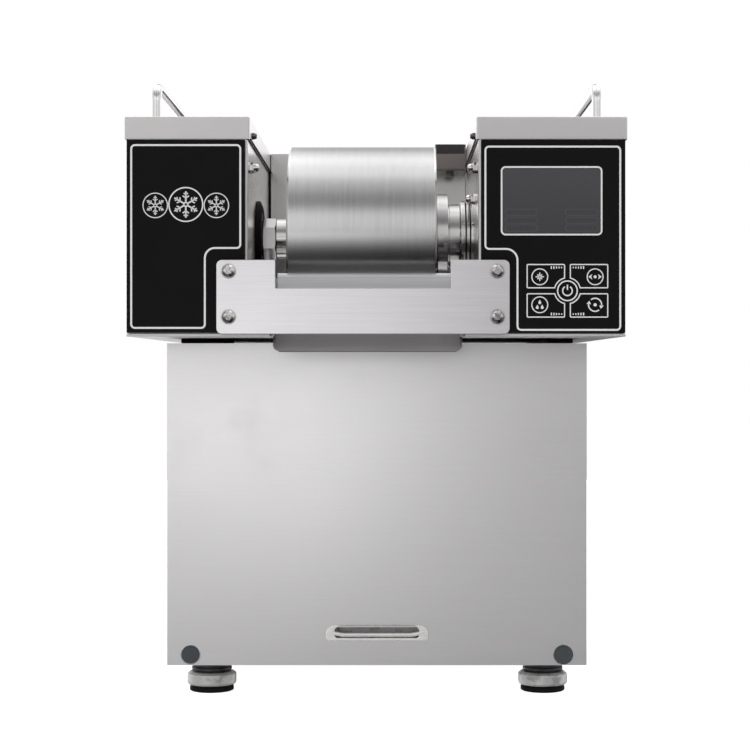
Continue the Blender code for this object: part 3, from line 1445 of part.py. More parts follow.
def flake_chute():
    """The sloping plate under the blade, with a cheek at each side up to the bracket."""
    top = BLADE_BEVEL
    bottom = top + CHUTE_LENGTH
    lip = along_chute(bottom, 0)
    face = [
        along_chute(top, -GAP),
        along_chute(top, -GAP - CHUTE_SHEET),
        along_chute(bottom, -GAP - CHUTE_SHEET),
        along_chute(bottom, -GAP),
    ]
    face = [Vector(point) for point in face]
    chute = section("flake_chute", [face], "X", CHUTE_LEFT, CHUTE_RIGHT, BRUSHED)
    cheek_bottom = DECK_BOTTOM
    cheek_front = FRONT_Y + CHUTE_CHEEK_GAP
    share = (BLADE_EDGE_Z - cheek_bottom) / math.sin(CHUTE_SLOPE)
    behind = -GAP - CHUTE_SHEET / 2
    cheek = [
        along_chute(top + CHUTE_SHEET, behind),
        along_chute(share, behind),
        (cheek_front, cheek_bottom),
        (cheek_front, BRACKET_TOP - CHUTE_CHEEK_DROP),
    ]
    cheek = [Vector(point) for point in cheek]
    for name, left in (("left", CHUTE_LEFT), ("right", CHUTE_RIGHT - CHUTE_SHEET)):
        side = section(f"chute_cheek_{name}", [cheek], "X", left, left + CHUTE_SHEET, None)
        join(chute, side)
    for name, x, inward in (("left", CHUTE_LEFT, 1), ("right", CHUTE_RIGHT, -1)):
        round_off = corner_cutter(f"chute_corner_{name}", x, lip[1], inward, CHUTE_CORNER)
        cut(chute, round_off)
    return chute


def corner_cutter(name, x, z, inward, radius):
    """A cutter that rounds one lower corner of the chute, seen from the front."""
    centre = (x + inward * radius, z + radius)
    arc = [
        Vector((centre[0] - inward * radius * math.cos(a), centre[1] - radius * math.sin(a)))
        for a in (math.pi / 2 * k / 6 for k in range(7))
    ]
    outside_x, outside_z = x - inward * OVERCUT, z - 2 * OVERCUT
    outline = [
        *arc,
        Vector((centre[0], outside_z)),
        Vector((outside_x, outside_z)),
        Vector((outside_x, centre[1])),
    ]
    return section(name, [outline], "Y", FRONT_Y - OVERCUT, BLADE_EDGE_Y + OVERCUT, None)


# ---------------------------------------------------------------- liquid system
def liquid_system(lid_lift):
    """The pan under the drum, the back plate, the supply tank with its lid, and the nozzle."""
    open_box(
        "liquid_tray",
        (
            BAY_LEFT + TRAY_SIDE_CLEARANCE,
            TRAY_FRONT_Y,
            DECK_TOP + GAP,
        ),
        (
            BAY_RIGHT - TRAY_SIDE_CLEARANCE,
            BACK_PLATE_Y - TRAY_REAR_CLEARANCE,
            TRAY_RIM_Z,
        ),
        SHEET,
        POLISHED,
        [(0, 0, 1)],
        corner=TRAY_CORNER,
    )
    left, right = BAY_LEFT + PANEL_FIT, BAY_RIGHT - PANEL_FIT
    step = LID_FIT + LID_SHEET  # the lids' flanges hang into the bay by this much
    shoulder = HEAD_TOP - LID_DEPTH - PANEL_FIT
    plate = [
        (left, HOUSING_BOTTOM),
        (right, HOUSING_BOTTOM),
        (right, shoulder),
        (right - step, shoulder),
        (right - step, BACK_PLATE_TOP),
        (left + step, BACK_PLATE_TOP),
        (left + step, shoulder),
        (left, shoulder),
    ]
    section("back_plate", [plate], "Y", BACK_PLATE_Y, BACK_PLATE_Y + SHEET, BRUSHED)
    open_box(
        "supply_tank",
        (TANK_LEFT, TANK_FRONT_Y, DECK_TOP + GAP),
        (TANK_RIGHT, TANK_REAR_Y, TANK_TOP),
        TANK_WALL,
        TANK_PLASTIC,
        [(0, 0, 1)],
        corner=TANK_CORNER,
    )
    supply_nozzle()
    notch_left = NOZZLE_LEFT - TANK_NOTCH_MARGIN
    notch_rear = BACK_PLATE_Y + SHEET + SADDLE_REACH + TANK_NOTCH_MARGIN
    outline = fillet(
        [
            (TANK_LEFT, TANK_FRONT_Y),
            (notch_left, TANK_FRONT_Y),
            (notch_left, notch_rear),
            (TANK_RIGHT, notch_rear),
            (TANK_RIGHT, TANK_REAR_Y),
            (TANK_LEFT, TANK_REAR_Y),
        ],
        [
            TANK_CORNER,
            TANK_NOTCH_CORNER,
            TANK_NOTCH_CORNER,
            TANK_NOTCH_CORNER,
            TANK_CORNER,
            TANK_CORNER,
        ],
    )
    low = TANK_TOP + GAP
    cover = section("tank_lid", [outline], "Z", low, low + TANK_LID_THICKNESS, TANK_PLASTIC)
    knob_x = (TANK_LEFT + TANK_RIGHT) / 2
    knob_y = (TANK_FRONT_Y + TANK_REAR_Y) / 2
    top = TANK_LID_THICKNESS + TANK_KNOB_HEIGHT
    knob = turned(
        "tank_knob",
        [
            (0, top),
            (TANK_KNOB_RADIUS * 0.8, top),
            (TANK_KNOB_RADIUS, top - TANK_KNOB_EDGE),
            (TANK_KNOB_RADIUS, top - TANK_KNOB_RIM),
            (TANK_KNOB_RADIUS * TANK_KNOB_NECK, top - TANK_KNOB_RIM - 1.5 * TANK_KNOB_EDGE),
            (TANK_KNOB_RADIUS * TANK_KNOB_NECK, TANK_LID_THICKNESS / 2),
            (0, TANK_LID_THICKNESS / 2),
        ],
        "Z",
        (knob_x, knob_y, low),
        None,
        steps=24,
    )
    join(cover, knob)
    hang(lid_lift, cover)


def supply_nozzle():
    """The nozzle block in the bay's rear corner, saddled over the back plate into the tank."""
    front = BACK_PLATE_Y - NOZZLE_DEPTH - GAP
    block = section(
        "supply_nozzle",
        [
            fillet(
                [
                    (front, NOZZLE_TOP - NOZZLE_HEIGHT),
                    (BACK_PLATE_Y - GAP, NOZZLE_TOP - NOZZLE_HEIGHT),
                    (BACK_PLATE_Y - GAP, NOZZLE_TOP),
                    (front, NOZZLE_TOP),
                ],
                [NOZZLE_CORNER / 2, 0, 0, NOZZLE_CORNER],
            )
        ],
        "X",
        NOZZLE_LEFT,
        NOZZLE_RIGHT,
        SMOKED,
    )
    middle = (NOZZLE_LEFT + NOZZLE_RIGHT) / 2
    saddle = box(
        "nozzle_saddle",
        (NOZZLE_LEFT, BACK_PLATE_Y - NOZZLE_DEPTH / 2, NOZZLE_TOP - SADDLE_HEIGHT),
        (NOZZLE_RIGHT, BACK_PLATE_Y + SHEET + SADDLE_REACH, NOZZLE_TOP - SADDLE_STEP),
    )
    spout_y = BACK_PLATE_Y - NOZZLE_DEPTH / 2
    spout = cylinder(
        "nozzle_spout",
        "Z",
        (middle, spout_y, NOZZLE_TOP - NOZZLE_HEIGHT - NOZZLE_SPOUT_LENGTH / 2 + OVERCUT / 2),
        NOZZLE_SPOUT_RADIUS,
        NOZZLE_SPOUT_LENGTH,
        steps=16,
    )
    dip_low = DECK_TOP + GAP + TANK_WALL + DIP_TUBE_RISE
    dip_high = NOZZLE_TOP - SADDLE_HEIGHT / 2
    dip = cylinder(
        "nozzle_dip_tube",
        "Z",
        (middle, DIP_TUBE_Y, (dip_low + dip_high) / 2),
        DIP_TUBE_RADIUS,
        dip_high - dip_low,
        steps=16,
    )
    return join(block, saddle, spout, dip)


# ---------------------------------------------------------------- drum and drive
def drum(spin):
    """The turning drum: its shell, an end with a journal at each side, and the hub nut."""
    inner = DRUM_RADIUS - DRUM_WALL
    middle_x = (DRUM_LEFT + DRUM_RIGHT) / 2
    half = DRUM_LENGTH / 2
    shell = turned(
        "drum_shell",
        [(inner, half), (DRUM_RADIUS, half), (DRUM_RADIUS, -half), (inner, -half)],
        "X",
        (middle_x, DRUM_Y, DRUM_Z),
        POLISHED,
        steps=DRUM_STEPS,
    )
    cap_radius = inner - GAP
    left_face = DRUM_LEFT + DRUM_CAP_INSET
    left = turned(
        "drum_cap_left",
        [
            (0, left_face + DRUM_CAP_THICKNESS),
            (cap_radius, left_face + DRUM_CAP_THICKNESS),
            (cap_radius, left_face),
            (LEFT_COLLAR_RADIUS, left_face),
            (LEFT_COLLAR_RADIUS, NUT_RIGHT + GAP),
            (JOURNAL_RADIUS, NUT_RIGHT + GAP),
            (JOURNAL_RADIUS, JOURNAL_LEFT_END),
            (0, JOURNAL_LEFT_END),
        ],
        "X",
        (0, DRUM_Y, DRUM_Z),
        POLISHED,
        steps=28,
    )
    right_face = DRUM_RIGHT - DRUM_CAP_INSET
    flange_end = DRUM_RIGHT + RIGHT_FLANGE_THICKNESS
    right = turned(
        "drum_cap_right",
        [
            (0, JOURNAL_RIGHT_END),
            (JOURNAL_RADIUS, JOURNAL_RIGHT_END),
            (JOURNAL_RADIUS, RIGHT_NECK_END),
            (RIGHT_NECK_RADIUS, RIGHT_NECK_END),
            (RIGHT_NECK_RADIUS, flange_end),
            (RIGHT_FLANGE_RADIUS, flange_end),
            (RIGHT_FLANGE_RADIUS, right_face),
            (cap_radius, right_face),
            (cap_radius, right_face - DRUM_CAP_THICKNESS),
            (0, right_face - DRUM_CAP_THICKNESS),
        ],
        "X",
        (0, DRUM_Y, DRUM_Z),
        POLISHED,
        steps=28,
    )
    corner = NUT_FLATS / math.sqrt(3)
    hexagon = [
        Vector((DRUM_Y + corner * math.cos(a), DRUM_Z + corner * math.sin(a)))
        for a in (math.pi / 6 + math.pi / 3 * k for k in range(6))
    ]
    bore = circle(DRUM_Y, DRUM_Z, JOURNAL_RADIUS + GAP, 24)
    nut = section("hub_nut", [hexagon, bore], "X", NUT_LEFT, NUT_RIGHT, POLISHED)
    hang(spin, shell, left, right, nut)


def bearings():
    """The two bearing flanges in the bay's walls, and the rotary joint on the left journal."""
    bore = JOURNAL_RADIUS + RUNNING_GAP
    turned(
        "left_bearing",
        [
            (bore, LEFT_BEARING_FACE),
            (BEARING_RADIUS * 0.86, LEFT_BEARING_FACE),
            (BEARING_RADIUS, LEFT_BEARING_FACE - BEARING_CHAMFER),
            (BEARING_RADIUS, BAY_LEFT + GAP),
            (BEARING_SPIGOT_RADIUS, BAY_LEFT + GAP),
            (BEARING_SPIGOT_RADIUS, LEFT_SPIGOT_END),
            (bore, LEFT_SPIGOT_END),
        ],
        "X",
        (0, DRUM_Y, DRUM_Z),
        BLACK_PLASTIC,
        steps=24,
    )
    groove = (RIGHT_BEARING_FACE + BAY_RIGHT) / 2
    low = BEARING_RADIUS - BEARING_GROOVE_DEPTH
    turned(
        "right_bearing",
        [
            (bore, RIGHT_SPIGOT_END),
            (BEARING_SPIGOT_RADIUS, RIGHT_SPIGOT_END),
            (BEARING_SPIGOT_RADIUS, BAY_RIGHT - GAP),
            (BEARING_RADIUS, BAY_RIGHT - GAP),
            (BEARING_RADIUS, groove + BEARING_GROOVE_WIDTH / 2),
            (low, groove + BEARING_GROOVE_WIDTH / 2),
            (low, groove - BEARING_GROOVE_WIDTH / 2),
            (BEARING_RADIUS, groove - BEARING_GROOVE_WIDTH / 2),
            (BEARING_RADIUS, RIGHT_BEARING_FACE),
            (bore, RIGHT_BEARING_FACE),
        ],
        "X",
        (0, DRUM_Y, DRUM_Z),
        POLISHED,
        steps=24,
    )
    joint_right = LEFT_SPIGOT_END - GAP
    joint_left = joint_right - ROTARY_JOINT_LENGTH
    socket_end = JOURNAL_LEFT_END - RUNNING_GAP
    turned(
        "rotary_joint",
        [
            (bore, joint_right),
            (ROTARY_JOINT_RADIUS, joint_right),
            (ROTARY_JOINT_RADIUS, joint_left + ROTARY_JOINT_NOSE),
            (ROTARY_JOINT_RADIUS * 0.6, joint_left),
            (bore * 0.5, joint_left),
            (bore * 0.5, socket_end),
            (bore, socket_end),
        ],
        "X",
        (0, DRUM_Y, DRUM_Z),
        DULL,
        steps=20,
    )


def gearmotor():
    """The gearmotor in the right housing: a gearbox on the journal, and the motor behind."""
    right = GEARBOX_LEFT + GEARBOX_WIDTH
    rear = DRUM_Y + GEARBOX_DEPTH / 2
    case = rectangle(
        DRUM_Y - GEARBOX_DEPTH / 2,
        rear,
        DRUM_Z - GEARBOX_HEIGHT / 2,
        DRUM_Z + GEARBOX_HEIGHT / 2,
        GEARBOX_CORNER,
        steps=3,
    )
    gearbox = section("gearmotor", [case], "X", GEARBOX_LEFT, right, GEAR_PAINT)
    motor_length = DRIVE_MOTOR_LENGTH + OVERCUT
    motor = cylinder(
        "drive_motor",
        "Y",
        (
            GEARBOX_LEFT + DRIVE_MOTOR_RADIUS + DRIVE_MOTOR_INSET,
            rear - OVERCUT + motor_length / 2,
            DRUM_Z,
        ),
        DRIVE_MOTOR_RADIUS,
        motor_length,
        steps=28,
    )
    bore = cylinder(
        "gearbox_bore",
        "X",
        (GEARBOX_LEFT + (GEARBOX_BORE_DEPTH - OVERCUT) / 2, DRUM_Y, DRUM_Z),
        JOURNAL_RADIUS + RUNNING_GAP,
        GEARBOX_BORE_DEPTH + OVERCUT,
        steps=24,
    )
    return cut(join(gearbox, motor), bore)


# ---------------------------------------------------------------- the machine
def main():
    """Build every piece, from the cabinet up."""
    cabinet_shell()
    base_tray()
    rear_panel()
    power_inlet()
    front_panel(joint("panel_hinge", (0, HINGE_Y, HINGE_Z)))
    feet()

    compressor()
    condenser()
    hub_y = FAN_FRONT_Y + FAN_PLATE + RUNNING_GAP + FAN_HUB_DEPTH / 2
    fan(joint("fan_spin", (FAN_X, hub_y, FAN_Z)))
    pipes()

    deck()
    housing("left", -HALF_HEAD, BAY_LEFT)
    housing("right", BAY_RIGHT, HALF_HEAD)
    lid("left", -HALF_HEAD, BAY_LEFT)
    lid("right", BAY_RIGHT, HALF_HEAD)
    handle("left", -HALF_HEAD + HANDLE_INSET)
    handle("right", HALF_HEAD - HANDLE_INSET)
    fascias()
    keys()
    control_board()

    front_bracket()
    bracket_screws()
    scraper_blade()
    flake_chute()
    liquid_system(joint("lid_lift", (BAY_MIDDLE, (TANK_FRONT_Y + TANK_REAR_Y) / 2, TANK_TOP)))

    drum(joint("drum_spin", ((DRUM_LEFT + DRUM_RIGHT) / 2, DRUM_Y, DRUM_Z)))
    bearings()
    gearmotor()


main()
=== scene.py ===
"""The looks of a table-top snow-ice machine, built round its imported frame.

Every piece is placed from the frame's own boxes, in metres: +Z up, -Y the front, +X to the right.
Each sub-assembly is a class that holds its sizes, builds its meshes and dresses them in a finish.
"""

from __future__ import annotations

import json
import logging
import math
from dataclasses import dataclass, field
from enum import Enum
from typing import Any, Iterable, Sequence

import bmesh
import bpy
from mathutils import Matrix, Vector

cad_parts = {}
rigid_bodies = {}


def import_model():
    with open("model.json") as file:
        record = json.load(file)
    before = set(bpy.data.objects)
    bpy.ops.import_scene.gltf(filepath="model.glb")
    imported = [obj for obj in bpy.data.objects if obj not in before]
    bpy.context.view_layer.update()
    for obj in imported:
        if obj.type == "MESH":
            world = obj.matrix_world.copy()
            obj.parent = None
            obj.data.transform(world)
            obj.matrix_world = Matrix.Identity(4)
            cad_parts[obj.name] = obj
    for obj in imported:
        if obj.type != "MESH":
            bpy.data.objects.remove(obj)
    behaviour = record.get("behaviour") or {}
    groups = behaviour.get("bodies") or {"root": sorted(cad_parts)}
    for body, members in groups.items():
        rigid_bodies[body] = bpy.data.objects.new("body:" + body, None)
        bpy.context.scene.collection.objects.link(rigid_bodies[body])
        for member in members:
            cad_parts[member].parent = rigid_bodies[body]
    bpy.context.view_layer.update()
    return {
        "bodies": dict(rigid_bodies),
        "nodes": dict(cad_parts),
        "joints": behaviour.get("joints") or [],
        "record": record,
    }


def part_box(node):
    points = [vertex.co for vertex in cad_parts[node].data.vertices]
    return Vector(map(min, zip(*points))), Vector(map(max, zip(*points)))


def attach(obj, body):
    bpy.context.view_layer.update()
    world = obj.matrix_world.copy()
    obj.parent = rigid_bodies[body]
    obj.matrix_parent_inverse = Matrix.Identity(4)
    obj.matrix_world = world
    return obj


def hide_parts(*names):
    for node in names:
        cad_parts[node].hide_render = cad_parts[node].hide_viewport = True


LOG = logging.getLogger("snow_ice_machine")

Outline = Sequence[Vector]
Colour = tuple[float, float, float]
Layer = tuple[float, float, float]  # a noise's marks per metre, its octaves and their share
Limits = tuple[float, float]

TINY = 1e-6
SHARP_ANGLE = math.radians(32)
STRAIGHT = math.radians(89.5)  # half the angle of a corner that needs no rounding
MERGE = 0.00002
HAIR, THIN, LIGHT, MILD = 0.0002, 0.0003, 0.0004, 0.0005  # roundings of an edge
SOFT, FULL = 0.0006, 0.0008
SEAT_GAP = 0.0003  # between pieces that touch
RUN_GAP = 0.0006  # between a piece that turns and one that stands
SKIN_GAP = 0.0001  # between a seal and what it lies on
CUT_MARGIN = 0.002
PRINT_HEIGHT = 0.00008  # how far printed ink stands proud of its plate
PRINT_DEPTH = 0.00005  # and how far it is let in


# ---------------------------------------------------------------- outlines
class Axis(Enum):
    """A main axis, with the turn that lays an outline across it."""

    X = (math.pi / 2, 0.0, math.pi / 2)
    Y = (math.pi / 2, 0.0, 0.0)
    Z = (0.0, 0.0, 0.0)

    @property
    def unit(self) -> Vector:
        """The axis as a unit vector."""
        return Vector([1.0 if letter == self.name else 0.0 for letter in "XYZ"])

    @property
    def spin(self) -> Matrix:
        """The turn that brings +Z onto the axis."""
        turns = {"X": (0.0, math.pi / 2, 0.0), "Y": (-math.pi / 2, 0.0, 0.0), "Z": (0.0, 0.0, 0.0)}
        return euler_matrix(turns[self.name])


def euler_matrix(angles: Sequence[float]) -> Matrix:
    """A rotation matrix from X, Y and Z angles in radians, turned in that order."""
    x, y, z = angles
    return Matrix.Rotation(z, 4, "Z") @ Matrix.Rotation(y, 4, "Y") @ Matrix.Rotation(x, 4, "X")


def fillet(
    points: Sequence[Sequence[float]],
    radii: float | Sequence[float],
    closed: bool = True,
    steps: int = 8,
) -> list[Vector]:
    """Rounds the corners of a line of two or three axes.

    Args:
        points: The corners in order.
        radii: One radius for all, or one for each corner.
        closed: Whether the last point joins the first.
        steps: The spans in each arc.

    Returns:
        The line's points, arcs included.
    """
    corners = [Vector(point) for point in points]
    wanted = [radii] * len(corners) if isinstance(radii, (int, float)) else list(radii)
    found: list[Vector] = []
    for i, (here, radius) in enumerate(zip(corners, wanted)):
        if radius <= 0 or (not closed and i in (0, len(corners) - 1)):
            found.append(here)
            continue
        back = (corners[i - 1] - here).normalized()
        ahead = (corners[(i + 1) % len(corners)] - here).normalized()
        half = back.angle(ahead) / 2
        if half > STRAIGHT:
            found.append(here)
            continue
        centre = here + (back + ahead).normalized() * (radius / math.sin(half))
        first = here + back * (radius / math.tan(half)) - centre
        last = here + ahead * (radius / math.tan(half)) - centre
        sweep = first.angle(last)
        for k in range(steps + 1):
            share = k / steps
            turned_point = first * math.sin((1 - share) * sweep) + last * math.sin(share * sweep)
            found.append(centre + turned_point / math.sin(sweep))
    return found


def rectangle(
    left: float, right: float, bottom: float, top: float, corner: float = 0.0, steps: int = 8
) -> list[Vector]:
    """A rectangle's outline with equal round corners."""
    points = [(left, bottom), (right, bottom), (right, top), (left, top)]
    return fillet(points, corner, steps=steps)


def circle(u: float, v: float, radius: float, steps: int = 48) -> list[Vector]:
    """A circle's outline."""
    return arc(u, v, radius, 0.0, 2 * math.pi * (1 - 1 / steps), steps - 1)


def arc(u: float, v: float, radius: float, start: float, end: float, steps: int = 16) -> list[Vector]:
    """The points of an arc from one angle to another, in radians."""
    angles = (start + (end - start) * k / steps for k in range(steps + 1))
    return [Vector((u + radius * math.cos(a), v + radius * math.sin(a))) for a in angles]


def grown(outline: Outline, amount: float) -> list[Vector]:
    """An outline that runs anticlockwise, moved outwards by an amount."""
    found = []
    for i, here in enumerate(outline):
        into = (here - outline[i - 1]).normalized()
        out = (outline[(i + 1) % len(outline)] - here).normalized()
        first, second = Vector((into.y, -into.x)), Vector((out.y, -out.x))
        found.append(here + (first + second) * (amount / (1 + first.dot(second))))
    return found


def band(outline: Outline, width: float) -> list[list[Vector]]:
    """The two outlines of an even line drawn along a closed outline."""
    return [grown(outline, width / 2), grown(outline, -width / 2)]


def stroke(points: Outline, width: float) -> list[Vector]:
    """The outline of an open line drawn with a width, with square ends."""
    sides: list[list[Vector]] = [[], []]
    for i, here in enumerate(points):
        back = points[max(i - 1, 0)]
        ahead = points[min(i + 1, len(points) - 1)]
        along = (ahead - back).normalized()
        across = Vector((along.y, -along.x)) * (width / 2)
        sides[0].append(here + across)
        sides[1].append(here - across)
    return [*sides[0], *reversed(sides[1])]


def placed(outline: Outline, u: float, v: float, angle: float = 0.0) -> list[Vector]:
    """An outline turned about the origin, then moved."""
    cos, sin = math.cos(angle), math.sin(angle)
    return [Vector((u + p.x * cos - p.y * sin, v + p.x * sin + p.y * cos)) for p in outline]


# ---------------------------------------------------------------- boxes of the frame
@dataclass(frozen=True)
class Span:
    """The box round a node at rest."""

    low: Vector
    high: Vector

    @classmethod
    def of(cls, node: str) -> Span:
        """The span of a node of the frame."""
        return cls(*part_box(node))

    @property
    def centre(self) -> Vector:
        """The middle of the box."""
        return (self.low + self.high) / 2

    @property
    def size(self) -> Vector:
        """The box's three sides."""
        return self.high - self.low


# ---------------------------------------------------------------- mesh making
def new_piece(name: str, mesh: bpy.types.Mesh) -> bpy.types.Object:
    """Puts a mesh into the scene as an object at the origin."""
    piece = bpy.data.objects.new(name, mesh)
    bpy.context.scene.collection.objects.link(piece)
    return piece


def settle(piece: bpy.types.Object, shade: bool = True) -> bpy.types.Object:
    """Applies an object's modifiers and transform, closes its seams and faces it outwards.

    Args:
        piece: A curve, or a mesh with modifiers; it is removed.
        shade: Whether the round parts are shaded smooth.

    Returns:
        A new mesh object of the same name, at the origin.
    """
    bpy.context.view_layer.update()
    graph = bpy.context.evaluated_depsgraph_get()
    mesh = bpy.data.meshes.new_from_object(piece.evaluated_get(graph))
    mesh.transform(piece.matrix_world)
    shape = bmesh.new()
    shape.from_mesh(mesh)
    bmesh.ops.remove_doubles(shape, verts=shape.verts, dist=TINY)
    bmesh.ops.dissolve_degenerate(shape, edges=shape.edges, dist=TINY)
    bmesh.ops.recalc_face_normals(shape, faces=shape.faces)
    shape.to_mesh(mesh)
    shape.free()
    name = piece.name
    bpy.data.objects.remove(piece)
    made = new_piece(name, mesh)
    return smooth(made) if shade else made


def smooth(piece: bpy.types.Object, angle: float = SHARP_ANGLE) -> bpy.types.Object:
    """Smooth shading that keeps sharp edges and lets large faces stay flat."""
    piece.data.shade_smooth()
    piece.data.set_sharp_from_angle(angle=angle)
    if "face_weights" not in piece.modifiers:
        weights = piece.modifiers.new("face_weights", "WEIGHTED_NORMAL")
        weights.keep_sharp = True
    return piece


def plate(
    name: str,
    outlines: Iterable[Outline],
    axis: Axis,
    low: float,
    high: float,
    edge: float = THIN,
    steps: int = 2,
) -> bpy.types.Object:
    """A flat plate with eased edges, and with any holes its outlines give.

    Args:
        name: The piece's name.
        outlines: The plate's outline and its holes, in the two axes across the given one.
        axis: The axis the plate is thick along.
        low: Where its thickness starts on that axis.
        high: Where it ends.
        edge: The radius of its edges.
        steps: The spans in each edge.

    Returns:
        The plate.
    """
    curve = bpy.data.curves.new(name, "CURVE")
    curve.dimensions = "2D"
    curve.fill_mode = "BOTH"
    edge = min(edge, (high - low) * 0.48)
    curve.extrude = (high - low) / 2 - edge
    curve.bevel_depth = edge
    curve.bevel_resolution = steps - 1
    curve.offset = -edge
    for outline in outlines:
        spline = curve.splines.new("POLY")
        spline.points.add(len(outline) - 1)
        for point, (u, v) in zip(spline.points, outline):
            point.co = (u, v, 0.0, 1.0)
        spline.use_cyclic_u = True
    piece = bpy.data.objects.new(name, curve)
    bpy.context.scene.collection.objects.link(piece)
    piece.rotation_euler = axis.value
    piece.location = axis.unit * ((low + high) / 2)
    return settle(piece)


def turned(
    name: str,
    profile: Sequence[Sequence[float]],
    axis: Axis,
    centre: Sequence[float],
    steps: int = 72,
) -> bpy.types.Object:
    """A turned piece.

    Args:
        name: The piece's name.
        profile: (radius, height, rounding) down the outer side; heights are along the axis
            from the centre. One that doesn't start on the axis closes on itself round a bore.
        axis: The axis of the turning.
        centre: The point that heights count from.
        steps: The spans round the piece.

    Returns:
        The turned piece.
    """
    closed = profile[0][0] > 0
    rounding = [point[2] if len(point) > 2 else 0.0 for point in profile]
    line = fillet([(point[0], point[1]) for point in profile], rounding, closed=closed, steps=4)
    mesh = bpy.data.meshes.new(name)
    links = [(i, i + 1) for i in range(len(line) - 1)]
    if closed:
        links.append((len(line) - 1, 0))
    mesh.from_pydata([(max(point.x, 0.0), 0.0, point.y) for point in line], links, [])
    piece = new_piece(name, mesh)
    turn = piece.modifiers.new("turn", "SCREW")
    turn.steps = turn.render_steps = steps
    turn.use_merge_vertices = True
    turn.merge_threshold = MERGE
    piece.matrix_world = Matrix.Translation(Vector(centre)) @ axis.spin
    return settle(piece)


def bar(name: str, points: Outline, radius: float, sides: int = 4) -> bpy.types.Object:
    """A round bar or pipe along points in three axes; sides is the spans in each quarter."""
    curve = bpy.data.curves.new(name, "CURVE")
    curve.dimensions = "3D"
    curve.bevel_depth = radius
    curve.bevel_resolution = sides
    curve.use_fill_caps = True
    spline = curve.splines.new("POLY")
    spline.points.add(len(points) - 1)
    for point, place in zip(spline.points, points):
        point.co = (*place, 1.0)
    piece = bpy.data.objects.new(name, curve)
    bpy.context.scene.collection.objects.link(piece)
    return settle(piece)


def ease(piece: bpy.types.Object, edge: float, segments: int = 2, angle: float = 50) -> bpy.types.Object:
    """Rounds the sharp edges of a piece by a small radius."""
    bevel = piece.modifiers.new("edge", "BEVEL")
    bevel.width = edge
    bevel.segments = segments
    bevel.limit_method = "ANGLE"
    bevel.angle_limit = math.radians(angle)
    return settle(piece)


def block(
    name: str, low: Sequence[float], high: Sequence[float], edge: float = LIGHT, segments: int = 3
) -> bpy.types.Object:
    """A box with eased edges between two corners."""
    low, high = Vector(low), Vector(high)
    shape = bmesh.new()
    bmesh.ops.create_cube(shape, size=1.0)
    bmesh.ops.scale(shape, vec=high - low, verts=shape.verts)
    bmesh.ops.translate(shape, vec=(low + high) / 2, verts=shape.verts)
    mesh = bpy.data.meshes.new(name)
    shape.to_mesh(mesh)
    shape.free()
    return ease(new_piece(name, mesh), edge, segments)


def pan(
    name: str,
    low: Sequence[float],
    high: Sequence[float],
    thickness: float,
    open_sides: Sequence[Sequence[float]],
    bend: float,
    rim: float = HAIR,
) -> bpy.types.Object:
    """A box of folded sheet, without its open sides.

    Args:
        name: The piece's name.
        low: The lowest outer corner.
        high: The highest outer corner.
        thickness: The sheet's thickness.
        open_sides: The outward directions that have no wall.
        bend: The outer radius of its folds.
        rim: The radius of its bare edges.

    Returns:
        The folded box.
    """
    low, high = Vector(low), Vector(high)
    shape = bmesh.new()
    bmesh.ops.create_cube(shape, size=1.0)
    bmesh.ops.scale(shape, vec=high - low, verts=shape.verts)
    bmesh.ops.translate(shape, vec=(low + high) / 2, verts=shape.verts)
    doomed = [
        face for face in shape.faces if any(face.normal.dot(Vector(side)) > 0.9 for side in open_sides)
    ]
    bmesh.ops.delete(shape, geom=doomed, context="FACES")
    mesh = bpy.data.meshes.new(name)
    shape.to_mesh(mesh)
    shape.free()
    piece = new_piece(name, mesh)
    fold = piece.modifiers.new("fold", "BEVEL")
    fold.width = bend
    fold.segments = 5
    fold.limit_method = "ANGLE"
    wall = piece.modifiers.new("wall", "SOLIDIFY")
    wall.thickness = thickness
    wall.offset = -1.0
    wall.use_even_offset = True
    edge = piece.modifiers.new("rim", "BEVEL")
    edge.width = rim
    edge.segments = 2
    edge.limit_method = "ANGLE"
    edge.angle_limit = math.radians(60)
    return settle(piece)


def refined(node: str, edge: float = THIN, segments: int = 2) -> bpy.types.Object:
    """A copy of a node's own shape with its edges eased."""
    mesh = bpy.data.objects[node].data.copy()
    shape = bmesh.new()
    shape.from_mesh(mesh)
    bmesh.ops.remove_doubles(shape, verts=shape.verts, dist=MERGE / 4)
    bmesh.ops.dissolve_limit(
        shape, angle_limit=math.radians(1.0), verts=shape.verts, edges=shape.edges
    )
    shape.to_mesh(mesh)
    shape.free()
    mesh.materials.clear()
    return ease(new_piece(f"{node}_eased", mesh), edge, segments, angle=40)


def cut(piece: bpy.types.Object, *cutters: bpy.types.Object) -> bpy.types.Object:
    """Takes cutters out of a piece and removes them."""
    return combine(piece, "DIFFERENCE", cutters)


def combine(
    piece: bpy.types.Object, operation: str, others: Iterable[bpy.types.Object]
) -> bpy.types.Object:
    """Runs one kind of Boolean on a piece with each of the others, which are removed."""
    others = list(others)
    piece.modifiers.clear()
    for other in others:
        other.modifiers.clear()
        step = piece.modifiers.new("combine", "BOOLEAN")
        step.operation = operation
        step.solver = "EXACT"
        step.object = other
    made = settle(piece)
    for other in others:
        bpy.data.objects.remove(other)
    return made


def gather(name: str, pieces: Iterable[bpy.types.Object]) -> bpy.types.Object:
    """Joins small pieces that stay separate bodies into one object."""
    shape = bmesh.new()
    for piece in list(pieces):
        shape.from_mesh(piece.data)
        bpy.data.objects.remove(piece)
    mesh = bpy.data.meshes.new(name)
    shape.to_mesh(mesh)
    shape.free()
    return smooth(new_piece(name, mesh))


def moved(piece: bpy.types.Object, matrix: Matrix) -> bpy.types.Object:
    """Moves a piece's own mesh."""
    piece.data.transform(matrix)
    return piece


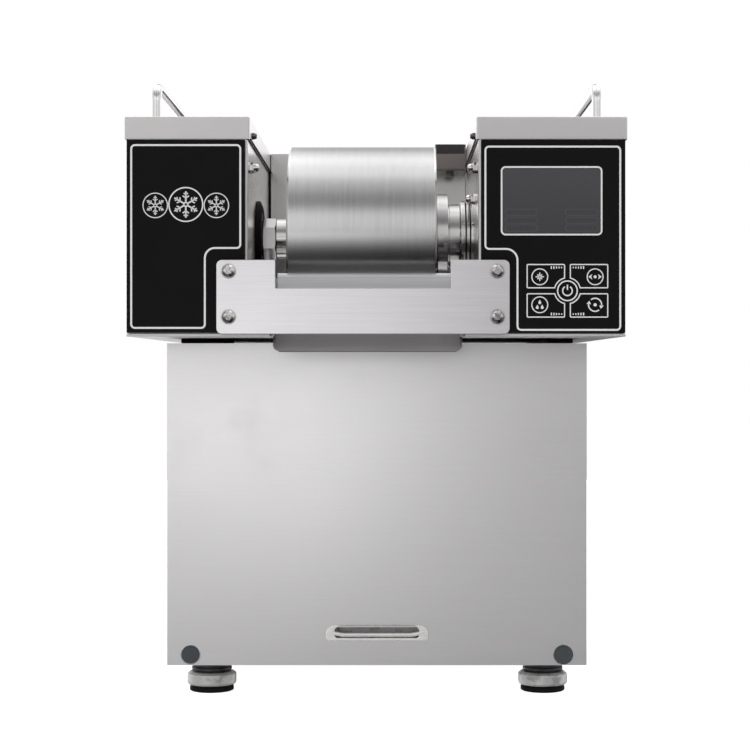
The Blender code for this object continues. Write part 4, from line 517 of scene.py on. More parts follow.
# ---------------------------------------------------------------- shader maths
class Value:
    """An output socket with the arithmetic of Math nodes, and Vector Math for places."""

    def __init__(self, tree: Tree, socket: bpy.types.NodeSocket) -> None:
        self.tree = tree
        self.socket = socket

    def _math(self, operation: str, *operands: Value | float) -> Value:
        """Adds one Math node."""
        return self.tree.make(
            "ShaderNodeMath", {"operation": operation}, dict(enumerate(operands))
        )

    def __add__(self, other: Value | float) -> Value:
        """The sum."""
        return self._math("ADD", self, other)

    __radd__ = __add__

    def __sub__(self, other: Value | float) -> Value:
        """The difference."""
        return self._math("SUBTRACT", self, other)

    def __rsub__(self, other: Value | float) -> Value:
        """The difference from a number."""
        return self._math("SUBTRACT", other, self)

    def __mul__(self, other: Value | float | Vector) -> Value:
        """The product; with a Vector, a place stretched along each axis."""
        if isinstance(other, Vector):
            return self.tree.make(
                "ShaderNodeVectorMath", {"operation": "MULTIPLY"}, {0: self, 1: tuple(other)}
            )
        return self._math("MULTIPLY", self, other)

    __rmul__ = __mul__

    def __abs__(self) -> Value:
        """The size without its sign."""
        return self._math("ABSOLUTE", self)

    def most(self, other: Value | float) -> Value:
        """The greater of two."""
        return self._math("MAXIMUM", self, other)


class Tree:
    """A node tree that is written as expressions."""

    def __init__(self, owner: bpy.types.Material | bpy.types.World) -> None:
        owner.use_nodes = True
        self.nodes = owner.node_tree.nodes
        self.links = owner.node_tree.links
        self.nodes.clear()

    def make(
        self,
        kind: str,
        settings: dict[str, Any] | None = None,
        inputs: dict[Any, Any] | None = None,
        output: int | str = 0,
    ) -> Value:
        """Adds a node.

        Args:
            kind: The node's type.
            settings: Its properties, set first; "stops" gives a colour ramp's stops.
            inputs: A value or a link for each of its sockets, by name or number.
            output: The socket to return.

        Returns:
            The chosen output.
        """
        node = self.nodes.new(kind)
        for name, value in (settings or {}).items():
            if name == "stops":
                self._set_stops(node.color_ramp, value)
            else:
                setattr(node, name, value)
        for name, value in (inputs or {}).items():
            if isinstance(value, Value):
                self.links.new(value.socket, node.inputs[name])
            else:
                node.inputs[name].default_value = value
        return Value(self, node.outputs[output] if len(node.outputs) else None)

    @staticmethod
    def _set_stops(ramp: bpy.types.ColorRamp, stops: Sequence[tuple[float, Colour]]) -> None:
        """Gives a colour ramp its stops."""
        while len(ramp.elements) > 1:
            ramp.elements.remove(ramp.elements[-1])
        for i, (position, colour) in enumerate(stops):
            element = ramp.elements[0] if i == 0 else ramp.elements.new(position)
            element.position = position
            element.color = (*colour, 1.0)

    def place(self) -> Value:
        """The point on the piece, in metres, which moves with the piece."""
        return self.make("ShaderNodeTexCoord", output="Object")

    def axis(self, place: Value, letter: str) -> Value:
        """One coordinate of a place."""
        return self.make("ShaderNodeSeparateXYZ", inputs={0: place}, output=letter)

    def noise(self, place: Value, scale: float, detail: float = 2.0, rough: float = 0.5) -> Value:
        """Soft noise from 0 to 1 about one half."""
        wanted = {"Vector": place, "Scale": scale, "Detail": detail, "Roughness": rough}
        return self.make("ShaderNodeTexNoise", {}, wanted)

    def cells(self, place: Value, scale: float) -> Value:
        """The distance to the nearest of scattered points."""
        return self.make("ShaderNodeTexVoronoi", {}, {"Vector": place, "Scale": scale})

    def step(self, value: Value, low: float, high: float) -> Value:
        """A smooth step from 0 at low to 1 at high."""
        return self.make(
            "ShaderNodeMapRange",
            {"interpolation_type": "SMOOTHSTEP"},
            {"Value": value, "From Min": low, "From Max": high},
        )

    def mix(self, share: Value, first: Colour | Value, second: Colour | Value) -> Value:
        """A colour between two."""
        ends = [(*end, 1.0) if isinstance(end, tuple) else end for end in (first, second)]
        return self.make(
            "ShaderNodeMix", {"data_type": "RGBA"}, {0: share, 6: ends[0], 7: ends[1]}, output=2
        )

    def bump(self, height: Value, distance: float, strength: float = 1.0) -> Value:
        """A normal pushed about by a height from 0 to 1 over a distance in metres."""
        return self.make(
            "ShaderNodeBump", {}, {"Height": height, "Distance": distance, "Strength": strength}
        )


class Grain(Enum):
    """Which way a surface was brushed or turned, as the stretch of its marks."""

    ALONG_X = (0.016, 1.0, 1.0)
    ALONG_Y = (1.0, 0.016, 1.0)
    ALONG_Z = (1.0, 1.0, 0.016)
    ROUND_X = (1.0, 0.03, 0.03)


@dataclass(frozen=True)
class Finish:
    """A finish: its name, the record's slot that it stands for, and its plain values."""

    name: str
    slot: str
    colour: Colour
    roughness: float
    metallic: float = 0.0
    specular: float = field(default=0.5, kw_only=True)

    def build(self) -> bpy.types.Material:
        """Makes the material."""
        material = bpy.data.materials.new(self.name)
        tree = Tree(material)
        sockets: dict[str, Any] = {
            "Base Color": (*self.colour, 1.0),
            "Roughness": self.roughness,
            "Metallic": self.metallic,
            "Specular IOR Level": self.specular,
        }
        sockets.update(self.detail(tree))
        shader = tree.make("ShaderNodeBsdfPrincipled", {}, sockets)
        tree.make("ShaderNodeOutputMaterial", {}, {"Surface": shader})
        material.diffuse_color = (*self.colour, 1.0)
        return material

    def detail(self, tree: Tree) -> dict[str, Any]:
        """The shader's sockets that this finish sets or links."""
        raise NotImplementedError

    def tones(self, *amounts: float) -> list[Colour]:
        """The finish's colour at two or more strengths."""
        return [self.shade(amount) for amount in amounts]

    def shade(self, amount: float) -> Colour:
        """The finish's colour made lighter or darker by a factor."""
        red, green, blue = (min(part * amount, 1.0) for part in self.colour)
        return (red, green, blue)


@dataclass(frozen=True)
class BrushedSteel(Finish):
    """Stainless steel with fine parallel marks, soft patches and the odd handling smudge."""

    grain: Grain = Grain.ALONG_X
    contrast: float = 0.04
    depth: float = 0.000005
    pitch: float = 2200.0  # marks per metre across the grain
    streak: float = 0.14  # how far the marks change the roughness
    coarse_share: float = 0.27  # the coarse marks' pitch as a part of the fine marks'
    fine_weight: float = 0.62
    fine_layer: tuple[float, float] = (5.0, 0.72)
    coarse_layer: tuple[float, float] = (2.0, 0.5)
    patch_layer: Layer = (6.0, 2.0, 0.5)
    smudge_layer: Layer = (15.0, 3.0, 0.6)
    smudge_limits: Limits = (0.56, 0.74)
    mark_limits: Limits = (0.30, 0.70)
    patch_rough: float = 0.08
    smudge_rough: float = 0.025

    def detail(self, tree: Tree) -> dict[str, Any]:
        """Marks in the colour, the roughness and the surface."""
        place = tree.place()
        along = place * Vector(self.grain.value)
        fine = tree.noise(along, self.pitch, *self.fine_layer)
        coarse = tree.noise(along, self.pitch * self.coarse_share, *self.coarse_layer)
        marks = fine * self.fine_weight + coarse * (1 - self.fine_weight)
        patches = tree.noise(place, *self.patch_layer)
        smudge = tree.step(tree.noise(place, *self.smudge_layer), *self.smudge_limits)
        tone = tree.step(marks, *self.mark_limits)
        rough = (marks - 0.5) * self.streak + (patches - 0.5) * self.patch_rough
        rough = rough + smudge * self.smudge_rough
        return {
            "Base Color": tree.mix(tone, *self.tones(1 - self.contrast, 1 + self.contrast)),
            "Roughness": rough + self.roughness,
            "Normal": tree.bump(marks, self.depth),
        }


@dataclass(frozen=True)
class PolishedSteel(Finish):
    """Bright steel with faint turning or wiping marks."""

    grain: Grain = Grain.ALONG_X
    depth: float = 0.000006
    mark_layer: Layer = (1500.0, 4.0, 0.7)
    haze_layer: Layer = (34.0, 4.0, 0.6)
    haze_tones: Limits = (0.95, 1.04)
    unevenness: float = 0.12

    def detail(self, tree: Tree) -> dict[str, Any]:
        """Faint marks and hazy patches."""
        place = tree.place()
        marks = tree.noise(place * Vector(self.grain.value), *self.mark_layer)
        haze = tree.noise(place, *self.haze_layer)
        return {
            "Base Color": tree.mix(haze, *self.tones(*self.haze_tones)),
            "Roughness": (marks + haze - 1.0) * self.unevenness + self.roughness,
            "Normal": tree.bump(marks, self.depth),
        }


@dataclass(frozen=True)
class CastMetal(Finish):
    """Cast or plated metal with a fine grain, dulled in patches."""

    grain_depth: float = 0.00005
    pit_layer: Layer = (1900.0, 3.0, 0.6)
    patch_layer: Layer = (95.0, 4.0, 0.6)
    grime_limits: Limits = (0.48, 0.66)
    grime_tones: Limits = (1.08, 0.66)
    unevenness: float = 0.25

    def detail(self, tree: Tree) -> dict[str, Any]:
        """Pits, patches and a little grime."""
        place = tree.place()
        pits = tree.noise(place, *self.pit_layer)
        patches = tree.noise(place, *self.patch_layer)
        grime = tree.step(patches, *self.grime_limits)
        return {
            "Base Color": tree.mix(grime, *self.tones(*self.grime_tones)),
            "Roughness": (patches - 0.5) * self.unevenness + self.roughness,
            "Normal": tree.bump(pits * 0.5 + patches * 0.5, self.grain_depth),
        }


@dataclass(frozen=True)
class BlackFilm(Finish):
    """The satin film on a front plate: even, with a very fine texture and a trace of dust."""

    weave_layer: Layer = (2600.0, 2.0, 0.5)
    cloud_layer: Layer = (22.0, 4.0, 0.6)
    dust_layer: Layer = (1400.0, 1.0, 0.5)
    dust_limits: Limits = (0.76, 0.82)
    cloud_tones: Limits = (0.82, 1.2)
    dust_colour: Colour = (0.06, 0.06, 0.06)
    dust_cover: float = 0.25
    cloud_rough: float = 0.12
    weave_rough: float = 0.08
    depth: float = 0.000006

    def detail(self, tree: Tree) -> dict[str, Any]:
        """A fine texture and dust."""
        place = tree.place()
        weave = tree.noise(place, *self.weave_layer)
        cloud = tree.noise(place, *self.cloud_layer)
        dust = tree.step(tree.noise(place, *self.dust_layer), *self.dust_limits)
        film = tree.mix(cloud, *self.tones(*self.cloud_tones))
        rough = (cloud - 0.5) * self.cloud_rough + (weave - 0.5) * self.weave_rough
        return {
            "Base Color": tree.mix(dust * self.dust_cover, film, self.dust_colour),
            "Roughness": rough + self.roughness,
            "Normal": tree.bump(weave, self.depth),
        }


@dataclass(frozen=True)
class Ink(Finish):
    """Screen-printed ink, slightly uneven."""

    cover_layer: Layer = (1300.0, 3.0, 0.6)
    cover_tones: Limits = (0.9, 1.06)
    unevenness: float = 0.2

    def detail(self, tree: Tree) -> dict[str, Any]:
        """Uneven cover."""
        cover = tree.noise(tree.place(), *self.cover_layer)
        return {
            "Base Color": tree.mix(cover, *self.tones(*self.cover_tones)),
            "Roughness": (cover - 0.5) * self.unevenness + self.roughness,
        }


@dataclass(frozen=True)
class ScreenGlass(Finish):
    """An unlit screen under a smooth clear cover, with a painted sheen that makes it a little lighter
    towards its top.
    """

    # the heights where the painted sheen starts and ends
    low: float = 0.0
    high: float = 1.0
    coat: float = 0.12
    coat_roughness: float = 0.06
    cloud_layer: Layer = (60.0, 2.0, 0.5)
    painted_sheen_weight: float = 0.8
    painted_sheen_tones: Limits = (0.86, 1.12)
    unevenness: float = 0.06

    def detail(self, tree: Tree) -> dict[str, Any]:
        """A painted sheen that lightens it towards its top, faint cloudy patches and a glassy coat."""
        place = tree.place()
        # painted sheen: the screen's colour is made lighter towards its top
        rise = tree.step(tree.axis(place, "Z"), self.low, self.high)
        cloud = tree.noise(place, *self.cloud_layer)
        tone = rise * self.painted_sheen_weight + cloud * (1 - self.painted_sheen_weight)
        return {
            "Base Color": tree.mix(tone, *self.tones(*self.painted_sheen_tones)),
            "Roughness": (cloud - 0.5) * self.unevenness + self.roughness,
            "Coat Weight": self.coat,
            "Coat Roughness": self.coat_roughness,
        }


@dataclass(frozen=True)
class Moulded(Finish):
    """Moulded plastic or rubber: a pebbled skin with faint flow and dust."""

    pebble: float = 900.0
    depth: float = 0.00004
    wear: float = 0.25
    flow_layer: Layer = (40.0, 4.0, 0.6)
    flow_tones: Limits = (0.84, 1.16)
    dust_layer: Layer = (260.0, 3.0, 0.6)
    dust_limits: Limits = (0.55, 0.8)
    dust_tone: float = 2.2
    dust_rough: float = 0.1
    unevenness: float = 0.16

    def detail(self, tree: Tree) -> dict[str, Any]:
        """Pebbles, flow and dust."""
        place = tree.place()
        pebbles = tree.cells(place, self.pebble)
        flow = tree.noise(place, *self.flow_layer)
        dust = tree.step(tree.noise(place, *self.dust_layer), *self.dust_limits)
        skin = tree.mix(flow, *self.tones(*self.flow_tones))
        rough = (flow - 0.5) * self.unevenness + dust * self.dust_rough
        return {
            "Base Color": tree.mix(dust * self.wear, skin, self.shade(self.dust_tone)),
            "Roughness": rough + self.roughness,
            "Normal": tree.bump(pebbles, self.depth),
        }


@dataclass(frozen=True)
class ClearPlastic(Finish):
    """Tinted or milky plastic that lets a little light through."""

    passes: float = 0.3
    flow_layer: Layer = (30.0, 4.0, 0.6)
    flow_tones: Limits = (0.85, 1.12)
    unevenness: float = 0.16
    depth: float = 0.00006

    def detail(self, tree: Tree) -> dict[str, Any]:
        """Flow marks, with constant transmission."""
        place = tree.place()
        flow = tree.noise(place, *self.flow_layer)
        return {
            "Base Color": tree.mix(flow, *self.tones(*self.flow_tones)),
            "Roughness": (flow - 0.5) * self.unevenness + self.roughness,
            "Transmission Weight": self.passes,
            "Normal": tree.bump(flow, self.depth),
        }


@dataclass(frozen=True)
class Enamel(Finish):
    """Sprayed enamel: orange peel, rubbed patches and small chips."""

    chip: Colour = (0.22, 0.21, 0.20)
    peel_layer: Layer = (420.0, 2.0, 0.5)
    rub_layer: Layer = (26.0, 5.0, 0.65)
    rub_tones: Limits = (0.8, 1.25)
    chip_layer: Layer = (170.0, 5.0, 0.7)
    chip_limits: Limits = (0.70, 0.73)
    chip_rough: float = 0.2
    chip_sink: float = 0.6
    unevenness: float = 0.22
    depth: float = 0.00008

    def detail(self, tree: Tree) -> dict[str, Any]:
        """Peel, rub and chips."""
        place = tree.place()
        peel = tree.noise(place, *self.peel_layer)
        rub = tree.noise(place, *self.rub_layer)
        chips = tree.step(tree.noise(place, *self.chip_layer), *self.chip_limits)
        coat = tree.mix(rub, *self.tones(*self.rub_tones))
        rough = (rub - 0.5) * self.unevenness + chips * self.chip_rough
        return {
            "Base Color": tree.mix(chips, coat, self.chip),
            "Roughness": rough + self.roughness,
            "Normal": tree.bump(peel - chips * self.chip_sink, self.depth),
        }


@dataclass(frozen=True)
class CopperTube(Finish):
    """Drawn copper that has darkened in patches."""

    oxide_layer: Layer = (48.0, 5.0, 0.65)
    oxide_limits: Limits = (0.42, 0.68)
    oxide_colour: Colour = (0.36, 0.17, 0.10)
    oxide_rough: float = 0.22
    bright_tone: float = 1.05
    mark_layer: Layer = (1600.0, 3.0, 0.6)
    mark_rough: float = 0.12
    depth: float = 0.00001

    def detail(self, tree: Tree) -> dict[str, Any]:
        """Oxide patches over drawing marks."""
        place = tree.place()
        oxide = tree.step(tree.noise(place, *self.oxide_layer), *self.oxide_limits)
        marks = tree.noise(place, *self.mark_layer)
        rough = oxide * self.oxide_rough + (marks - 0.5) * self.mark_rough
        return {
            "Base Color": tree.mix(oxide, self.shade(self.bright_tone), self.oxide_colour),
            "Roughness": rough + self.roughness,
            "Normal": tree.bump(marks, self.depth),
        }


@dataclass(frozen=True)
class CircuitBoard(Finish):
    """Solder mask over tracks, with bright pads."""

    run: float = 0.25  # how far a track is drawn out along its run
    track_layer: Layer = (300.0, 1.0, 0.3)
    level_limits: Limits = (0.52, 0.54)
    upright_limits: Limits = (0.55, 0.57)
    track_tones: Limits = (0.8, 1.9)
    track_gloss: float = 0.12
    depth: float = 0.00004

    def detail(self, tree: Tree) -> dict[str, Any]:
        """Tracks as steps in stretched noise."""
        place = tree.place()
        level = tree.noise(place * Vector((self.run, 1.0, 1.0)), *self.track_layer)
        upright = tree.noise(place * Vector((1.0, 1.0, self.run)), *self.track_layer)
        rows = tree.step(level, *self.level_limits)
        tracks = rows.most(tree.step(upright, *self.upright_limits))
        return {
            "Base Color": tree.mix(tracks, *self.tones(*self.track_tones)),
            "Roughness": tracks * -self.track_gloss + self.roughness,
            "Normal": tree.bump(tracks, self.depth),
        }


class Finishes:
    """Every finish on the machine, made into a material when it is first used."""

    cabinet = BrushedSteel(
        "cabinet_steel", "brushed_steel", (0.655, 0.647, 0.65), 0.36, 0.74, Grain.ALONG_X, 0.02
    )
    side = BrushedSteel(
        "side_steel", "brushed_steel", (0.72, 0.71, 0.71), 0.40, 0.80, Grain.ALONG_Y, 0.03
    )
    lid = BrushedSteel(
        "lid_steel", "brushed_steel", (0.70, 0.685, 0.68), 0.36, 0.95, Grain.ALONG_Y, 0.02
    )
    bracket = BrushedSteel(
        "bracket_steel",
        "brushed_steel",
        (0.60, 0.59, 0.60),
        0.34,
        0.76,
        Grain.ALONG_X,
        0.06,
        0.000012,
        1500.0,
    )
    # the chute's steel is darker than the other steel: painted shade under the head's overhang
    chute = BrushedSteel("chute_steel", "brushed_steel", (0.46, 0.455, 0.45), 0.36, 1.0, contrast=0.05)
    blade = BrushedSteel(
        "blade_steel",
        "polished_steel",
        (0.68, 0.68, 0.69),
        0.32,
        1.0,
        Grain.ALONG_X,
        0.10,
        0.000012,
        1500.0,
    )
    bay = BrushedSteel("bay_steel", "brushed_steel", (0.64, 0.63, 0.62), 0.24, 1.0, Grain.ALONG_Z)
    drum = BrushedSteel(
        "drum_steel",
        "polished_steel",
        (0.80, 0.80, 0.80),
        0.20,
        1.0,
        Grain.ROUND_X,
        0.03,
        0.000002,
        1500.0,
        0.10,
    )
    nut = PolishedSteel("nut_steel", "polished_steel", (0.55, 0.535, 0.53), 0.16, 1.0)
    turned = PolishedSteel(
        "turned_steel", "polished_steel", (0.82, 0.81, 0.80), 0.10, 1.0, Grain.ROUND_X
    )
    handle = PolishedSteel("handle_steel", "polished_steel", (0.82, 0.82, 0.81), 0.20, 1.0, Grain.ALONG_Y)
    polished = PolishedSteel("bright_steel", "polished_steel", (0.82, 0.81, 0.79), 0.12, 1.0)
    pull = PolishedSteel("pull_steel", "polished_steel", (0.84, 0.83, 0.81), 0.26, 0.55)
    screw = CastMetal("screw_steel", "polished_steel", (0.72, 0.71, 0.69), 0.26, 1.0, 0.00002)
    tray = PolishedSteel("tray_steel", "polished_steel", (0.78, 0.78, 0.78), 0.20, 1.0, Grain.ALONG_Y)
    foot = CastMetal("foot_casting", "polished_steel", (0.64, 0.64, 0.63), 0.42, 0.72)
    collar = CastMetal("collar_steel", "polished_steel", (0.10, 0.10, 0.105), 0.38, 0.9)
    bolt = CastMetal("black_bolt", "dull_steel", (0.13, 0.13, 0.13), 0.28, 0.9)
    machined = CastMetal("machined_steel", "dull_steel", (0.48, 0.48, 0.48), 0.40, 1.0)
    copper = CopperTube("copper_tube", "copper", (0.78, 0.42, 0.27), 0.24, 1.0)
    fins = PolishedSteel("fin_stock", "aluminium", (0.72, 0.73, 0.74), 0.34, 1.0, Grain.ALONG_Z)
    film = BlackFilm("black_film", "black_acrylic", (0.0062, 0.0062, 0.0066), 0.46, specular=0.04)
    ink = Ink("white_ink", "black_acrylic", (0.62, 0.62, 0.62), 0.5)
    segments = Ink("segment_ink", "display_glass", (0.075, 0.075, 0.083), 0.3)
    rubber = Moulded("black_rubber", "black_rubber", (0.005, 0.005, 0.005), 0.66, specular=0.15)
    plastic = Moulded("black_moulding", "black_plastic", (0.014, 0.014, 0.014), 0.42, 0.0, 1500.0)
    grey = Moulded(
        "grey_moulding", "grey_plastic", (0.042, 0.048, 0.053), 0.50, 0.0, 1100.0, specular=0.3
    )
    smoked = ClearPlastic("smoked_plastic", "smoked_plastic", (0.25, 0.22, 0.20), 0.22, 0.0, 0.12)
    smoked_cap = ClearPlastic("smoked_cap", "smoked_plastic", (0.030, 0.026, 0.024), 0.16, 0.0, 0.10)
    tank = ClearPlastic("milky_plastic", "tank_plastic", (0.80, 0.82, 0.83), 0.32, 0.0, 0.35)
    black_paint = Enamel("compressor_enamel", "black_paint", (0.014, 0.014, 0.015), 0.34)
    grey_paint = Enamel("gearbox_enamel", "grey_paint", (0.20, 0.21, 0.22), 0.42)
    board = CircuitBoard("circuit_board", "circuit_board", (0.02, 0.13, 0.06), 0.38)

    by_slot = {
        "brushed_steel": side,
        "polished_steel": polished,
        "dull_steel": machined,
        "copper": copper,
        "aluminium": fins,
        "black_acrylic": film,
        "display_glass": film,
        "black_rubber": rubber,
        "black_plastic": plastic,
        "grey_plastic": grey,
        "smoked_plastic": smoked,
        "tank_plastic": tank,
        "black_paint": black_paint,
        "grey_paint": grey_paint,
        "circuit_board": board,
    }

    _made: dict[str, bpy.types.Material] = {}

    @classmethod
    def material(cls, finish: Finish) -> bpy.types.Material:
        """The material of a finish."""
        if finish.name not in cls._made:
            cls._made[finish.name] = finish.build()
        return cls._made[finish.name]


# ---------------------------------------------------------------- sub-assemblies
@dataclass
class SubAssembly:
    """Pieces that are built together, and where each one was put."""

    made: list[str] = field(default_factory=list, init=False)

    def build(self) -> None:
        """Builds and dresses every piece."""
        raise NotImplementedError

    def dress(
        self,
        piece: bpy.types.Object,
        finish: Finish,
        body: str = "chassis",
        replaces: Sequence[str] = (),
    ) -> bpy.types.Object:
        """Gives a piece its finish and its place in the frame.

        Args:
            piece: The finished mesh.
            finish: What it is made of.
            body: The body that it moves with.
            replaces: The nodes that it stands for.

        Returns:
            The piece.
        """
        piece.data.materials.clear()
        piece.data.materials.append(Finishes.material(finish))
        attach(piece, body)
        if replaces:
            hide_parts(*replaces)
        self.made.append(piece.name)
        LOG.info("%s: %s on %s", piece.name, finish.name, body)
        return piece


@dataclass
class Cabinet(SubAssembly):
    """The cabinet's folded panels, with its vents, hoods, socket and screws."""

    vent_count: int = 8
    vent_pitch: float = 0.014
    vent_rise: float = 0.045  # the lowest slot above the cabinet's lower edge
    vent_width: float = 0.005
    hood_length: float = 0.118
    hood_reach: float = 0.0034
    hood_sheet: float = 0.0007
    screw_inset: float = 0.009
    screw_radius: float = 0.0036

    def build(self) -> None:
        """Builds the panels and what is on them."""
        for node, finish in (
            ("cabinet_shell", Finishes.side),
            ("base_tray", Finishes.side),
            ("rear_panel", Finishes.cabinet),
        ):
            self.dress(refined(node), finish, replaces=[node])
        self.build_hoods()
        self.build_rear_screws()
        self.build_inlet()

    def hood(self, name: str, side: int, top: float) -> bpy.types.Object:
        """One pressed hood over a side slot.

        Args:
            name: The piece's name.
            side: -1 for the left wall, 1 for the right.
            top: The height at which the hood leaves the wall.

        Returns:
            The hood, open along its lower edge.
        """
        shell = Span.of("cabinet_shell")
        wall = shell.high.x if side > 0 else shell.low.x
        middle = shell.centre.y
        rows, columns = 6, 28
        points = []
        for row in range(rows + 1):
            drop = row / rows
            for column in range(columns + 1):
                along = 2 * column / columns - 1
                swell = (1 - along**8) ** 0.5 * math.sin(drop * math.pi / 2)
                x = wall + side * (self.hood_reach * swell - self.hood_sheet)
                y = middle + along * self.hood_length / 2
                points.append((x, y, top - drop * (self.vent_width + 2 * self.hood_sheet)))
        width = columns + 1
        faces = [
            (r * width + c, r * width + c + 1, (r + 1) * width + c + 1, (r + 1) * width + c)
            for r in range(rows)
            for c in range(columns)
        ]
        mesh = bpy.data.meshes.new(name)
        mesh.from_pydata(points, [], faces)
        piece = new_piece(name, mesh)
        wall_step = piece.modifiers.new("wall", "SOLIDIFY")
        wall_step.thickness = self.hood_sheet
        wall_step.offset = 0.0
        return settle(piece)

    def build_hoods(self) -> None:
        """A hood over every slot of both side walls."""
        bottom = Span.of("cabinet_shell").low.z + self.vent_rise
        for side, label in ((-1, "left"), (1, "right")):
            hoods = [
                self.hood(
                    f"hood_{k}",
                    side,
                    bottom + k * self.vent_pitch + self.vent_width + 2 * self.hood_sheet,
                )
                for k in range(self.vent_count)
            ]
            self.dress(gather(f"vent_hoods_{label}", hoods), Finishes.side)

    def build_rear_screws(self) -> None:
        """The small screws that hold the rear panel."""
        panel = Span.of("rear_panel")
        xs = (panel.low.x + self.screw_inset, panel.centre.x, panel.high.x - self.screw_inset)
        zs = (panel.low.z + self.screw_inset, panel.high.z - self.screw_inset)
        screws = []
        for i, (x, z) in enumerate((x, z) for x in xs for z in zs):
            screw = Fastener(self.screw_radius, self.screw_radius * 0.5).head(f"rear_screw_{i}")
            turn = Matrix.Rotation(-math.pi / 2, 4, "X")
            screws.append(moved(screw, Matrix.Translation((x, panel.high.y, z)) @ turn))
        self.dress(gather("rear_screws", screws), Finishes.screw)

    def build_inlet(self) -> None:
        """The mains socket with its three pins."""
        socket = Span.of("power_inlet")
        self.dress(refined("power_inlet", MILD, 3), Finishes.plastic, replaces=["power_inlet"])
        pins = []
        for i, (shift, rise) in enumerate(((-0.007, 0.002), (0.0, -0.002), (0.007, 0.002))):
            x, z = socket.centre.x + shift, socket.centre.z + rise
            low = (x - 0.001, socket.high.y - 0.020, z - 0.0025)
            high = (x + 0.001, socket.high.y - 0.004, z + 0.0025)
            pins.append(block(f"inlet_pin_{i}", low, high, LIGHT))
        self.dress(gather("inlet_pins", pins), Finishes.turned)


@dataclass(frozen=True)
class Fastener:
    """A cross-recess pan-head screw seen from outside."""

    radius: float
    height: float
    washer: float = 0.0
    washer_height: float = 0.0011
    recess_share: float = 0.60
    recess_width_share: float = 0.24

    def head(self, name: str) -> bpy.types.Object:
        """The head on its washer, standing along +Z from the origin."""
        seat = self.washer_height if self.washer else 0.0
        top = seat + self.height
        profile = [
            (0, top),
            (self.radius * 0.62, top, self.radius * 0.3),
            (self.radius, seat + self.height * 0.42, self.radius * 0.22),
            (self.radius, seat, 0),
            (0, seat),
        ]
        head = turned(f"{name}_head", profile, Axis.Z, (0, 0, 0), 40)
        reach = self.radius * self.recess_share
        half = self.radius * self.recess_width_share / 2
        depth = self.height * 0.62
        bars = []
        for k in range(2):
            low = (-reach, -half, top - depth) if k == 0 else (-half, -reach, top - depth)
            high = (reach, half, top + CUT_MARGIN) if k == 0 else (half, reach, top + CUT_MARGIN)
            bars.append(block(f"{name}_bar_{k}", low, high, half * 0.25, 1))
        core = turned(
            f"{name}_core",
            [
                (0, top + CUT_MARGIN),
                (half * 2.1, top + CUT_MARGIN),
                (half * 1.3, top - depth),
                (0, top - depth),
            ],
            Axis.Z,
            (0, 0, 0),
            16,
        )
        head = cut(head, *bars, core)
        if not self.washer:
            head.name = name
            return head
        ring = turned(
            f"{name}_washer",
            [
                (self.washer, 0, 0),
                (self.washer, seat, THIN),
                (self.radius * 0.5, seat, 0),
                (self.radius * 0.5, 0, 0),
            ],
            Axis.Z,
            (0, 0, 0),
            48,
        )
        return gather(name, [head, ring])


